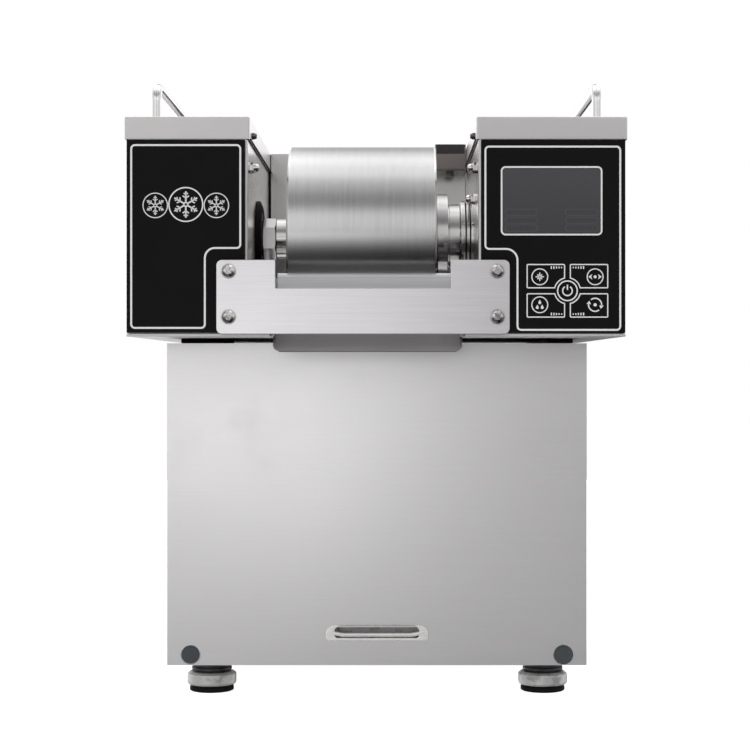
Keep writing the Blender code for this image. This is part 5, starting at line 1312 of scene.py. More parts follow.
@dataclass
class AccessPanel(SubAssembly):
    """The swinging front panel, its flush pull and its corner caps."""

    edge: float = 0.0007
    shoulder: float = 0.0092  # the frame's upper corners
    heel: float = 0.0034  # and its lower ones
    cheek: float = 0.0082  # the frame's width beside its slot
    sill: float = 0.0024
    brow: float = 0.0010
    bar_radius: float = 0.0019
    bar_gap: float = 0.0010
    bar_lift: float = 0.0014
    bar_sweep: float = 0.0070
    cup_depth: float = 0.013
    cap_proud: float = 0.0029
    washer_width: float = 0.0008
    body: str = "access_panel"

    def build(self) -> None:
        """Builds the panel, its pull and its caps."""
        panel = refined("front_panel", self.edge, 3)
        self.dress(panel, Finishes.cabinet, self.body, ["front_panel"])
        self.build_pull()
        for side in ("left", "right"):
            self.build_cap(f"corner_cap_{side}")

    def build_pull(self) -> None:
        """A pressed frame with round shoulders, a rolled bar across it and a cup behind."""
        span = Span.of("pull_cup")
        face = Span.of("front_panel").low.y
        half_w, low, high = span.size.x / 2, span.low.z, span.high.z
        frame_outline = fillet(
            [(-half_w, low), (half_w, low), (half_w, high), (-half_w, high)],
            [self.heel, self.heel, self.shoulder, self.shoulder],
        )
        reach, floor, roof = half_w - self.cheek, low + self.sill, high - self.brow
        slot = fillet(
            [(-reach, floor), (reach, floor), (reach, roof), (-reach, roof)],
            [0.0030, 0.0030, 0.0054, 0.0054],
        )
        front = span.low.y
        frame = plate(
            "pull_frame", [frame_outline, slot], Axis.Y, front + SEAT_GAP, face - TINY, 0.0007, 3
        )
        self.dress(frame, Finishes.pull, self.body, ["pull_cup"])
        level = floor + self.bar_gap + self.bar_radius
        y = front + self.bar_radius + 0.0002
        route = [
            (-reach - 0.0004, y, level + self.bar_lift),
            (-reach + self.bar_sweep, y, level),
            (reach - self.bar_sweep, y, level),
            (reach + 0.0004, y, level + self.bar_lift),
        ]
        lip = bar("pull_lip", fillet(route, 0.012, closed=False), self.bar_radius, 6)
        self.dress(lip, Finishes.pull, self.body)
        cup = pan(
            "pull_recess",
            (-reach - 0.0012, face + SEAT_GAP, floor - 0.0006),
            (reach + 0.0012, face + self.cup_depth, roof + 0.0008),
            FULL,
            [(0, -1, 0)],
            0.0034,
        )
        self.dress(cup, Finishes.machined, self.body)

    def build_cap(self, node: str) -> None:
        """One domed push-in cap."""
        span = Span.of(node)
        radius = span.size.x / 2
        face = Span.of("front_panel").low.y
        profile = [
            (0, face - self.cap_proud),
            (radius * 0.80, face - self.cap_proud * 0.86, 0.0030),
            (radius, face - self.cap_proud * 0.42, 0.0010),
            (radius, face - SKIN_GAP, 0.0),
            (radius * 0.34, face - SKIN_GAP),
            (radius * 0.34, span.high.y),
            (0, span.high.y),
        ]
        cap = turned(f"{node}_dome", profile, Axis.Y, (span.centre.x, 0.0, span.centre.z), 72)
        self.dress(cap, Finishes.grey, self.body, [node])
        ring = [
            (radius * 0.8, face - 0.00045, 0.0),
            (radius + self.washer_width, face - 0.00045, HAIR),
            (radius + self.washer_width, face - TINY, 0.0),
            (radius * 0.8, face - TINY, 0.0),
        ]
        washer = turned(f"{node}_washer", ring, Axis.Y, (span.centre.x, 0.0, span.centre.z), 72)
        self.dress(washer, Finishes.handle, self.body)


@dataclass
class Feet(SubAssembly):
    """Four levelling feet: a threaded stem in a ringed collar, a cast cup and a rubber pad."""

    stem_radius: float = 0.0040
    thread_pitch: float = 0.0015
    thread_depth: float = 0.0006
    collar_radius: float = 0.0185
    collar_bore: float = 0.0143
    cup_height: float = 0.0116
    collar_top: float = 0.0281
    labels: tuple[str, ...] = ("front_left", "front_right", "rear_left", "rear_right")

    def build(self) -> None:
        """Builds each foot on its own body."""
        for label in self.labels:
            self.build_cup(label)
            self.build_collar(label)
            self.build_pad(label)
            self.build_stem(label)

    def build_cup(self, label: str) -> None:
        """The cast cup, with a ring round its crown."""
        span, pad = Span.of(f"foot_cup_{label}"), Span.of(f"foot_pad_{label}")
        radius, low = span.size.x / 2, pad.high.z + SEAT_GAP
        place = (span.centre.x, span.centre.y, 0.0)
        top = low + self.cup_height
        profile = [
            (0, top),
            (radius * 0.87, top, 0.0010),
            (radius, top - 0.0020, 0.0012),
            (radius, low + 0.0014, 0.0010),
            (radius * 0.96, low, 0.0),
            (0, low),
        ]
        cup = turned(f"foot_casting_{label}", profile, Axis.Z, place, 80)
        self.dress(cup, Finishes.foot, f"foot_{label}", [f"foot_cup_{label}"])

    def build_collar(self, label: str) -> None:
        """The dark collar over the cup, with two rolled rings."""
        span, cup = Span.of(f"foot_cup_{label}"), Span.of(f"foot_pad_{label}").high.z
        low, high, radius = cup + self.cup_height + 0.0006, self.collar_top, self.collar_radius
        profile: list[tuple[float, ...]] = [
            (self.collar_bore, high),
            (radius - 0.0010, high, MILD),
            (radius - 0.0004, high - 0.0020, SOFT),
        ]
        for drop in (0.0034, 0.0064):
            profile += [
                (radius - 0.0014, high - drop + 0.0006, HAIR),
                (radius, high - drop, FULL),
                (radius, high - drop - 0.0016, SOFT),
            ]
        profile += [(radius - 0.0010, low, THIN), (self.collar_bore, low)]
        collar = turned(
            f"foot_collar_{label}", profile, Axis.Z, (span.centre.x, span.centre.y, 0.0), 80
        )
        self.dress(collar, Finishes.collar, f"foot_{label}")

    def build_pad(self, label: str) -> None:
        """The rubber pad, with a bead round its edge and a groove."""
        span = Span.of(f"foot_pad_{label}")
        radius, top = span.size.x / 2, span.high.z
        profile = [
            (0, top),
            (radius * 0.97, top, LIGHT),
            (radius * 0.97, top * 0.72, THIN),
            (radius, top * 0.62, SOFT),
            (radius, top * 0.12, SOFT),
            (radius * 0.94, 0.0, THIN),
            (0, 0.0),
        ]
        pad = turned(f"foot_rubber_{label}", profile, Axis.Z, (span.centre.x, span.centre.y, 0.0), 80)
        self.dress(pad, Finishes.rubber, f"foot_{label}", [f"foot_pad_{label}"])

    def build_stem(self, label: str) -> None:
        """The threaded stem, which turns with the foot."""
        span = Span.of(f"foot_cup_{label}")
        place = (span.centre.x, span.centre.y, 0.0)
        low, high = span.low.z + 0.0110, span.high.z
        profile: list[tuple[float, float]] = [(0, high), (self.stem_radius - 0.0008, high)]
        turns = int((high - low) / self.thread_pitch)
        for k in range(turns):
            z = high - 0.0006 - k * self.thread_pitch
            profile.append((self.stem_radius, z - self.thread_pitch * 0.25))
            profile.append((self.stem_radius - self.thread_depth, z - self.thread_pitch * 0.75))
        profile += [(self.stem_radius - self.thread_depth, low), (0, low)]
        stem = turned(f"foot_stem_{label}", profile, Axis.Z, place, 32)
        self.dress(stem, Finishes.machined, f"foot_{label}")


@dataclass
class Head(SubAssembly):
    """The two housings on the deck, with their lids, handles and small fixings."""

    lid_sheet: float = 0.0012
    lid_bend: float = 0.0016
    lid_screw: float = 0.0030
    lid_screw_height: float = 0.0044
    lid_screw_setback: float = 0.026
    lid_screw_rise: float = 0.0056
    seal_radius: float = 0.0006
    handle_radius: float = 0.0045
    handle_bend: float = 0.013
    flange_radius: float = 0.0080
    flange_height: float = 0.0024
    cap_nut_radius: float = 0.0048
    cap_nuts_left: tuple[tuple[float, float], ...] = ((0.016, 0.0425),)  # setback and drop
    cap_nuts_right: tuple[tuple[float, float], ...] = ((0.016, 0.0425), (0.060, 0.0655))

    def build(self) -> None:
        """Builds the deck, the housings and what is on them."""
        self.dress(refined("deck_plate"), Finishes.side, replaces=["deck_plate"])
        for side in ("left", "right"):
            cushion = f"deck_cushion_{side}"
            self.dress(refined(cushion, 0.0007), Finishes.rubber, replaces=[cushion])
            housing = f"{side}_housing"
            self.dress(refined(housing, HAIR), Finishes.bay, replaces=[housing])
            self.build_lid(side)
            self.build_handle(side)
            self.build_cap_nuts(side)

    def build_lid(self, side: str) -> None:
        """A folded lid, with a screw through its inner flange near its front end."""
        span = Span.of(f"{side}_lid")
        lid = pan(
            f"{side}_lid_cover", span.low, span.high, self.lid_sheet, [(0, 0, -1)], self.lid_bend
        )
        self.dress(lid, Finishes.lid, replaces=[f"{side}_lid"])
        inner_x, outward = (span.high.x, 1) if side == "left" else (span.low.x, -1)
        screw = Fastener(self.lid_screw, self.lid_screw_height).head(f"{side}_lid_screw")
        turn = Matrix.Rotation(outward * math.pi / 2, 4, "Y")
        place = (inner_x, span.low.y + self.lid_screw_setback, span.low.z + self.lid_screw_rise)
        self.dress(moved(screw, Matrix.Translation(place) @ turn), Finishes.bolt)
        self.build_lid_seal(side, span)

    def build_lid_seal(self, side: str, lid: Span) -> None:
        """The black strip along the lower edge of a lid's inner flange."""
        inner_x, outward = (lid.high.x, 1) if side == "left" else (lid.low.x, -1)
        x = inner_x + outward * (self.seal_radius + SKIN_GAP)
        rear = lid.high.y if side == "left" else Span.of("supply_nozzle").low.y
        ends = [Vector((x, y, lid.low.z)) for y in (lid.low.y + 0.003, rear - 0.003)]
        self.dress(bar(f"{side}_lid_seal", ends, self.seal_radius), Finishes.rubber)

    def build_handle(self, side: str) -> None:
        """A bent round bar, with a turned flange under each foot."""
        span = Span.of(f"{side}_handle")
        radius = self.handle_radius
        x, base, top = span.centre.x, span.low.z - SEAT_GAP, span.high.z - radius
        front, rear = span.low.y + radius, span.high.y - radius
        corners = [(x, front, base), (x, front, top), (x, rear, top), (x, rear, base)]
        route = fillet(corners, self.handle_bend, closed=False, steps=14)
        rod = bar(f"{side}_handle_bar", route, radius, 7)
        self.dress(rod, Finishes.handle, replaces=[f"{side}_handle"])
        flanges = [
            turned(
                f"{side}_flange_{k}",
                [
                    (0, self.flange_height),
                    (self.flange_radius * 0.78, self.flange_height, SOFT),
                    (self.flange_radius, self.flange_height * 0.4, LIGHT),
                    (self.flange_radius, 0),
                    (0, 0),
                ],
                Axis.Z,
                (x, y, base),
                48,
            )
            for k, y in enumerate((front, rear))
        ]
        self.dress(gather(f"{side}_handle_flanges", flanges), Finishes.handle)

    def build_cap_nuts(self, side: str) -> None:
        """The domed nuts on the bay's wall that hold the lid's hinge strip."""
        span = Span.of(f"{side}_housing")
        wall, outward = (span.high.x, 1) if side == "left" else (span.low.x, -1)
        top = Span.of(f"{side}_lid").high.z
        nuts = []
        places = self.cap_nuts_left if side == "left" else self.cap_nuts_right
        for k, (setback, drop) in enumerate(places):
            corner = self.cap_nut_radius
            hexagon = circle(0.0, 0.0, corner, 6)
            base = plate(f"{side}_nut_base_{k}", [hexagon], Axis.Z, 0.0, 0.0040, LIGHT)
            dome = turned(
                f"{side}_nut_dome_{k}",
                [
                    (0, 0.0088),
                    (corner * 0.55, 0.0084, 0.0015),
                    (corner * 0.80, 0.0060, 0.0015),
                    (corner * 0.80, 0.0036),
                    (0, 0.0036),
                ],
                Axis.Z,
                (0, 0, 0),
                40,
            )
            turn = Matrix.Rotation(outward * math.pi / 2, 4, "Y")
            shift = Matrix.Translation((wall, span.low.y + setback, top - drop)) @ turn
            nuts += [moved(base, shift), moved(dome, shift)]
        self.dress(gather(f"{side}_cap_nuts", nuts), Finishes.turned)


@dataclass(frozen=True)
class BorderLine:
    """The printed line round a front plate, stepped in beside the bracket.

    Edges are the X of its outer and inner sides and of its step, and the heights of its foot,
    top and step.
    """

    outer: float
    inner: float
    step: float
    foot: float
    top: float
    shoulder: float
    step_arc: float
    corner: float = 0.0032

    def outline(self) -> list[Vector]:
        """The middle of the line, anticlockwise."""
        corners = [
            (self.outer, self.foot),
            (self.step, self.foot),
            (self.step, self.shoulder),
            (self.inner, self.shoulder),
            (self.inner, self.top),
            (self.outer, self.top),
        ]
        radii = [self.corner, self.corner, self.step_arc, self.corner, self.corner, self.corner]
        if self.outer > self.inner:
            corners.reverse()
            radii.reverse()
        return fillet(corners, radii, steps=10)


@dataclass
class ControlFront(SubAssembly):
    """The two black front plates: printing, display, and the five keys."""

    line: float = 0.0016
    key_line: float = 0.00095
    icon_line: float = 0.0009
    icon_offset: tuple[float, float] = (0.0237, 0.0120)
    icon_radius: float = 0.0068
    power_radius: float = 0.0092
    half_width: float = 0.0350
    half_height: float = 0.0230
    inner_x: float = 0.0020
    inner_z: float = 0.0021
    bite: float = 0.0107
    corner: float = 0.0013
    left_line: BorderLine = BorderLine(-0.2098, -0.1163, -0.1467, 0.3320, 0.4887, 0.4005, 0.0086)
    right_line: BorderLine = BorderLine(0.2094, 0.0938, 0.1213, 0.3303, 0.4874, 0.3997, 0.0098)
    crystals: tuple[tuple[float, float, float], ...] = (
        (-0.1892, 0.4370, 0.0105),
        (-0.1630, 0.4378, 0.0145),
        (-0.1368, 0.4370, 0.0105),
    )

    def build(self) -> None:
        """Builds both plates, then the display and the keys."""
        for side, border in (("left", self.left_line), ("right", self.right_line)):
            node = f"{side}_fascia"
            self.dress(refined(node, HAIR), Finishes.film, replaces=[node])
            self.ink(f"{side}_border", band(border.outline(), self.line))
        self.build_crystals()
        self.build_display()
        self.build_keys()

    @property
    def face(self) -> float:
        """The front of the plates."""
        return Span.of("right_fascia").low.y

    @property
    def keypad(self) -> Vector:
        """The middle of the keypad, as X and Z."""
        middle = Span.of("key_power").centre
        return Vector((middle.x, middle.z))

    def ink(
        self,
        name: str,
        *figures: list[list[Vector]],
        body: str = "chassis",
        face: float | None = None,
        finish: Finish = Finishes.ink,
    ) -> bpy.types.Object:
        """Prints figures, each a list of an outline and its holes, as one thin piece.

        Args:
            name: The piece's name.
            figures: The outlines of each figure.
            body: The body that is printed on.
            face: The surface's Y, or None for the plates' own.
            finish: The ink.

        Returns:
            The printed piece.
        """
        y = self.face if face is None else face
        prints = [
            plate(f"{name}_{k}", outlines, Axis.Y, y - PRINT_HEIGHT, y + PRINT_DEPTH, PRINT_DEPTH / 4)
            for k, outlines in enumerate(figures)
        ]
        return self.dress(gather(name, prints), finish, body)

    def crystal(self, x: float, z: float, radius: float, line: float) -> list[list[list[Vector]]]:
        """The strokes of a six-armed ice crystal."""
        figures = []
        for k in range(6):
            angle = math.pi / 2 + k * math.pi / 3
            arm = stroke([Vector((radius * 0.16, 0)), Vector((radius, 0))], line)
            figures.append([placed(arm, x, z, angle)])
            for share, reach in ((0.48, 0.30), (0.74, 0.20)):
                root = Vector((radius * share, 0))
                for way in (1, -1):
                    tip = root + Vector((0.6, 0.8 * way)) * radius * reach
                    figures.append([placed(stroke([root, tip], line * 0.8), x, z, angle)])
        figures.append([circle(x, z, radius * 0.2, 24), circle(x, z, radius * 0.1, 24)])
        return figures

    def build_crystals(self) -> None:
        """Three ice crystals in a row, each inside a thin ring."""
        figures: list[list[list[Vector]]] = []
        for x, z, radius in self.crystals:
            figures += self.crystal(x, z, radius * 0.78, radius * 0.09)
            figures.append(band(circle(x, z, radius, 64), radius * 0.075))
        self.ink("crystal_mark", *figures)

    def build_display(self) -> None:
        """The screen, its printed frame and the faint outlines of its unlit legends."""
        span = Span.of("display_window")
        outline = rectangle(span.low.x, span.high.x, span.low.z, span.high.z, 0.0034)
        screen = plate("display_screen", [outline], Axis.Y, span.low.y, span.high.y, HAIR)
        # the screen's finish paints a sheen that lightens it towards its top
        finish = ScreenGlass(
            "screen_glass",
            "display_glass",
            (0.046, 0.046, 0.050),
            0.24,
            0.0,
            span.low.z,
            span.high.z,
            specular=0.2,
        )
        self.dress(screen, finish, replaces=["display_window"])
        self.ink("display_frame", band(outline, 0.0014))
        legends = []
        for row in range(3):
            low = span.low.z + 0.0030 + row * 0.0068
            for left in (span.low.x + 0.0030, span.high.x - 0.0310):
                legends.append(band(rectangle(left, left + 0.0280, low, low + 0.0052, 0.0024), 0.0003))
        self.ink("display_legends", *legends, finish=Finishes.segments)

    def key_outline(self, side: int, level: int, shrink: float = 0.0) -> list[Vector]:
        """One quarter key, whose inner corner is bitten out round the power key.

        Args:
            side: -1 for the left column, 1 for the right.
            level: 1 for the upper row, -1 for the lower.
            shrink: How far inside the key's edge the outline runs.

        Returns:
            The outline, anticlockwise.
        """
        inner_x, inner_z = self.inner_x + shrink, self.inner_z + shrink
        outer_x, outer_z = self.half_width - shrink, self.half_height - shrink
        bite = self.bite + shrink
        start, end = math.asin(inner_z / bite), math.acos(inner_x / bite)
        corners = [(outer_x, inner_z), (outer_x, outer_z), (inner_x, outer_z)]
        corners += [(p.x, p.y) for p in arc(0, 0, bite, end, start, 12)]
        points = fillet(corners, [max(self.corner - shrink, 0.0004)] * 3 + [0] * 13, steps=5)
        middle = self.keypad
        outline = [Vector((middle.x + side * p.x, middle.y + level * p.y)) for p in points]
        return outline if side * level > 0 else outline[::-1]

    def build_keys(self) -> None:
        """The five keys and what is printed on them."""
        middle = self.keypad
        icons = {
            "snow": (-1, 1, self.snow_icon),
            "speed": (1, 1, self.speed_icon),
            "wash": (-1, -1, self.wash_icon),
            "mode": (1, -1, self.mode_icon),
        }
        for name, (side, level, icon) in icons.items():
            span = Span.of(f"key_{name}")
            body = f"{name}_key"
            key = plate(
                f"{name}_key_top", [self.key_outline(side, level)], Axis.Y, span.low.y, span.high.y, HAIR
            )
            self.dress(key, Finishes.film, body, [f"key_{name}"])
            x = middle.x + side * self.icon_offset[0]
            z = middle.y + level * self.icon_offset[1]
            ring = [] if name == "mode" else [band(circle(x, z, self.icon_radius, 64), self.icon_line)]
            marks = self.level_marks(side, level)
            edge = band(self.key_outline(side, level, self.key_line / 2), self.key_line)
            self.ink(f"{name}_print", edge, *ring, *icon(x, z), *marks, body=body, face=span.low.y)
        self.build_power_key()

    def build_power_key(self) -> None:
        """The round key in the middle, with its ring and its sign."""
        span, middle = Span.of("key_power"), self.keypad
        disc = circle(middle.x, middle.y, self.power_radius, 72)
        key = plate("power_key_top", [disc], Axis.Y, span.low.y, span.high.y, HAIR)
        self.dress(key, Finishes.film, "power_key", ["key_power"])
        opening = math.radians(32)
        ring = arc(middle.x, middle.y, 0.0041, math.pi / 2 + opening, 2.5 * math.pi - opening, 40)
        bar_line = [Vector((middle.x, middle.y + 0.0008)), Vector((middle.x, middle.y + 0.0052))]
        self.ink(
            "power_print",
            band(circle(middle.x, middle.y, self.power_radius - 0.0008, 72), 0.0011),
            [stroke(ring, 0.0011)],
            [stroke(bar_line, 0.0011)],
            body="power_key",
            face=span.low.y,
        )

    def level_marks(self, side: int, level: int) -> list[list[list[Vector]]]:
        """A row of small level bars in the key's inner outer corner."""
        middle = self.keypad
        marks = []
        for k in range(5):
            x = middle.x + side * (self.inner_x + 0.0030 + k * 0.0022)
            low = self.half_height - 0.0042
            z = middle.y + level * (low + 0.00115)
            rise = 0.0006 + 0.00016 * k
            marks.append([rectangle(x - 0.0005, x + 0.0005, z - rise, z + rise, HAIR, 2)])
        return marks

    def snow_icon(self, x: float, z: float) -> list[list[list[Vector]]]:
        """An eight-armed star."""
        arms = []
        for k in range(8):
            reach = 0.0036 if k % 2 == 0 else 0.0028
            arm = stroke([Vector((0.0, 0)), Vector((reach, 0))], 0.0009)
            arms.append([placed(arm, x, z, k * math.pi / 4)])
        return arms

    def speed_icon(self, x: float, z: float) -> list[list[list[Vector]]]:
        """A dot between two arrowheads."""
        figures = [[circle(x, z, 0.0013, 24)]]
        for way in (1, -1):
            head = [(0.0024, 0.0023), (0.0024, 0.0013), (0.0052, 0.0), (0.0024, -0.0013), (0.0024, -0.0023)]
            tip = [(0.0058, 0.0)]
            points = [Vector((x + way * u, z + v)) for u, v in [head[0], *tip, head[4], (0.0034, 0.0)]]
            figures.append([points])
        return figures

    def wash_icon(self, x: float, z: float) -> list[list[list[Vector]]]:
        """Three drops."""
        figures = []
        for u, v in ((0.0, 0.0022), (-0.0021, -0.0020), (0.0021, -0.0020)):
            drop = [
                *arc(0.0, -0.0004, 0.00125, math.pi * 0.85, math.pi * 2.15, 16),
                Vector((0.0, 0.0022)),
            ]
            figures.append([placed(drop, x + u, z + v)])
        return figures

    def mode_icon(self, x: float, z: float) -> list[list[list[Vector]]]:
        """Two arrows that chase each other round a dot."""
        figures = [[circle(x, z, 0.0014, 24)]]
        for turn in (0.0, math.pi):
            line = arc(0, 0, 0.0056, math.radians(-10), math.radians(128), 24)
            figures.append([placed(stroke(line, 0.0011), x, z, turn)])
            head = [
                Vector((0.0056 + 0.0018, -0.0006)),
                Vector((0.0056 - 0.0020, -0.0006)),
                Vector((0.0056 - 0.0006, -0.0034)),
            ]
            figures.append([placed(head, x, z, turn)])
        return figures


@dataclass
class FrontEnd(SubAssembly):
    """The screwed bracket, the scraper blade and the chute."""

    cut_left: float = -0.08615
    cut_right: float = 0.06395
    cut_height: float = 0.3658
    corner: float = 0.0048
    edge: float = 0.00045
    head_radius: float = 0.0061
    washer_radius: float = 0.0064
    head_height: float = 0.0038

    def build(self) -> None:
        """Builds the bracket with its screws, then the blade and the chute."""
        self.build_bracket()
        self.build_screws()
        blade = refined("scraper_blade", SOFT, 3)
        self.dress(blade, Finishes.blade, replaces=["scraper_blade"])
        # the chute's darker steel colour is painted shade from the head above it
        chute = refined("flake_chute", THIN)
        self.dress(chute, Finishes.chute, replaces=["flake_chute"])

    def build_bracket(self) -> None:
        """The cross plate, cut down in the middle."""
        span = Span.of("front_bracket")
        outline = fillet(
            [
                (span.low.x, span.low.z),
                (span.high.x, span.low.z),
                (span.high.x, span.high.z),
                (self.cut_right, span.high.z),
                (self.cut_right, self.cut_height),
                (self.cut_left, self.cut_height),
                (self.cut_left, span.high.z),
                (span.low.x, span.high.z),
            ],
            [self.corner, self.corner, self.corner, FULL, SOFT, SOFT, FULL, self.corner],
        )
        bracket = plate("cross_bracket", [outline], Axis.Y, span.low.y, span.high.y, self.edge, 3)
        self.dress(bracket, Finishes.bracket, replaces=["front_bracket"])

    def build_screws(self) -> None:
        """Four pan-head screws on washers, each stopped at its own angle."""
        face = Span.of("front_bracket").low.y
        stops = {"left_lower": 18, "left_upper": 49, "right_lower": 38, "right_upper": 20}
        for label, stop in stops.items():
            node = f"bracket_screw_{label}"
            place = Span.of(node).centre
            fastener = Fastener(self.head_radius * 0.93, self.head_height, self.washer_radius)
            screw = fastener.head(f"{node}_head")
            shift = Matrix.Translation((place.x, face, place.z))
            face_out = Matrix.Rotation(math.pi / 2, 4, "X")
            spin = Matrix.Rotation(math.radians(stop), 4, "Z")
            self.dress(moved(screw, shift @ face_out @ spin), Finishes.screw, replaces=[node])


@dataclass
class DrumLine(SubAssembly):
    """The freezing drum, its ends and journals, and the bearings they turn in."""

    steps: int = 160
    wall: float = 0.003
    rim: float = 0.0011
    collar_radius: float = 0.0186
    journal_radius: float = 0.010
    flange_radius: float = 0.041
    neck_radius: float = 0.0317
    nut_flats: float = 0.033
    body: str = "drum"

    def build(self) -> None:
        """Builds the turning pieces, then the fixed ones."""
        self.build_shell()
        self.build_left_end()
        self.build_right_end()
        self.build_nut()
        self.build_left_bearing()
        self.build_right_bearing()
        self.build_rotary_joint()

    @property
    def axis(self) -> Vector:
        """A point on the drum's axis."""
        centre = Span.of("drum_shell").centre
        return Vector((0.0, centre.y, centre.z))

    def turn(self, name: str, profile: list[tuple[float, ...]], steps: int = 96) -> bpy.types.Object:
        """A piece turned about the drum's axis, from (radius, X) points."""
        return turned(name, profile, Axis.X, self.axis, steps)

    def build_shell(self) -> None:
        """The drum's skin, with eased rims."""
        span = Span.of("drum_shell")
        radius = span.size.z / 2
        inner, rim = radius - self.wall, self.rim
        profile = [
            (inner, span.high.x, LIGHT),
            (radius - rim, span.high.x, THIN),
            (radius, span.high.x - rim * 1.5, SOFT),
            (radius, span.low.x + rim * 1.5, SOFT),
            (radius - rim, span.low.x, THIN),
            (inner, span.low.x, LIGHT),
        ]
        shell = self.turn("drum_skin", profile, self.steps)
        self.dress(shell, Finishes.drum, self.body, ["drum_shell"])

    def build_left_end(self) -> None:
        """The left end plate with its collar, and the journal through the wall."""
        span, shell = Span.of("drum_cap_left"), Span.of("drum_shell")
        nut = Span.of("hub_nut")
        disc = span.size.z / 2
        face = shell.low.x + RUN_GAP
        profile = [
            (0, span.high.x),
            (disc, span.high.x),
            (disc, face, THIN),
            (disc * 0.62, face, 0.0),
            (disc * 0.60, face + 0.0008, 0.0),
            (disc * 0.56, face + 0.0008, 0.0),
            (disc * 0.54, face, 0.0),
            (self.collar_radius + 0.0016, face, FULL),
            (self.collar_radius, face - 0.0022, 0.0),
            (self.collar_radius, nut.high.x + 0.0009, THIN),
            (self.collar_radius - 0.0006, nut.high.x + SEAT_GAP, HAIR),
            (self.journal_radius, nut.high.x + SEAT_GAP, 0.0),
            (self.journal_radius, span.low.x + 0.001, LIGHT),
            (self.journal_radius - 0.001, span.low.x),
            (0, span.low.x),
        ]
        self.dress(self.turn("drum_end_left", profile), Finishes.turned, self.body, ["drum_cap_left"])

    def build_right_end(self) -> None:
        """The right end plate, its stepped flanges and the drive journal."""
        span, shell = Span.of("drum_cap_right"), Span.of("drum_shell")
        neck_end = Span.of("right_bearing").low.x - RUN_GAP
        face, flange_end = shell.high.x - RUN_GAP, shell.high.x + 0.0112
        disc = span.size.z / 2
        profile = [
            (0, span.high.x),
            (self.journal_radius, span.high.x, MILD),
            (self.journal_radius, neck_end, 0.0),
            (self.neck_radius, neck_end, SOFT),
            (self.neck_radius, flange_end + 0.0016, THIN),
            (self.neck_radius - 0.0012, flange_end + 0.0012, 0.0),
            (self.neck_radius - 0.0012, flange_end, 0.0),
            (self.flange_radius, flange_end, FULL),
            (self.flange_radius, face + 0.0022, FULL),
            (self.flange_radius - 0.0022, face + 0.0016, 0.0),
            (self.flange_radius - 0.0022, face, 0.0),
            (disc, face, THIN),
            (disc, span.low.x),
            (0, span.low.x),
        ]
        self.dress(self.turn("drum_end_right", profile), Finishes.turned, self.body, ["drum_cap_right"])

    def build_nut(self) -> None:
        """The chamfered hexagon nut."""
        span, axis = Span.of("hub_nut"), self.axis
        corner = self.nut_flats / math.sqrt(3)
        hexagon = placed(circle(0, 0, corner, 6), axis.y, axis.z, math.pi / 6)
        bore = circle(axis.y, axis.z, self.journal_radius + SEAT_GAP, 40)
        nut = plate("journal_nut", [hexagon, bore], Axis.X, span.low.x, span.high.x, HAIR)
        inside, outside = self.nut_flats / 2 + 0.0002, corner * 1.12
        bevel = (outside - inside) * 0.32
        cones = self.turn(
            "nut_cones",
            [
                (0, span.high.x + TINY),
                (inside, span.high.x + TINY),
                (outside, span.high.x - bevel),
                (outside, span.low.x + bevel),
                (inside, span.low.x - TINY),
                (0, span.low.x - TINY),
            ],
        )
        nut = combine(nut, "INTERSECT", [cones])
        self.dress(nut, Finishes.nut, self.body, ["hub_nut"])

    def build_left_bearing(self) -> None:
        """The black bearing flange, with a ring of cap screws and a seal."""
        span, axis = Span.of("left_bearing"), self.axis
        radius, bore = span.size.z / 2, self.journal_radius + RUN_GAP
        wall = Span.of("left_housing").high.x + SEAT_GAP
        spigot = 0.024
        profile = [
            (bore, span.high.x, 0.0),
            (bore + 0.004, span.high.x, LIGHT),
            (bore + 0.0045, span.high.x - 0.0012, 0.0),
            (bore + 0.0070, span.high.x - 0.0012, 0.0),
            (bore + 0.0075, span.high.x, LIGHT),
            (radius * 0.84, span.high.x, MILD),
            (radius, span.high.x - 0.0024, FULL),
            (radius, wall, 0.0),
            (spigot, wall, 0.0),
            (spigot, span.low.x, SOFT),
            (bore, span.low.x, 0.0),
        ]
        bearing = self.turn("bearing_flange_left", profile)
        self.dress(bearing, Finishes.rubber, replaces=["left_bearing"])
        screws = []
        for k in range(4):
            angle = math.pi / 4 + k * math.pi / 2
            screw = Fastener(0.0030, 0.0010).head(f"bearing_screw_{k}")
            y = axis.y + radius * 0.76 * math.cos(angle)
            z = axis.z + radius * 0.76 * math.sin(angle)
            turn = Matrix.Rotation(math.pi / 2, 4, "Y")
            screws.append(moved(screw, Matrix.Translation((span.high.x - 0.0004, y, z)) @ turn))
        self.dress(gather("bearing_screws", screws), Finishes.bolt)

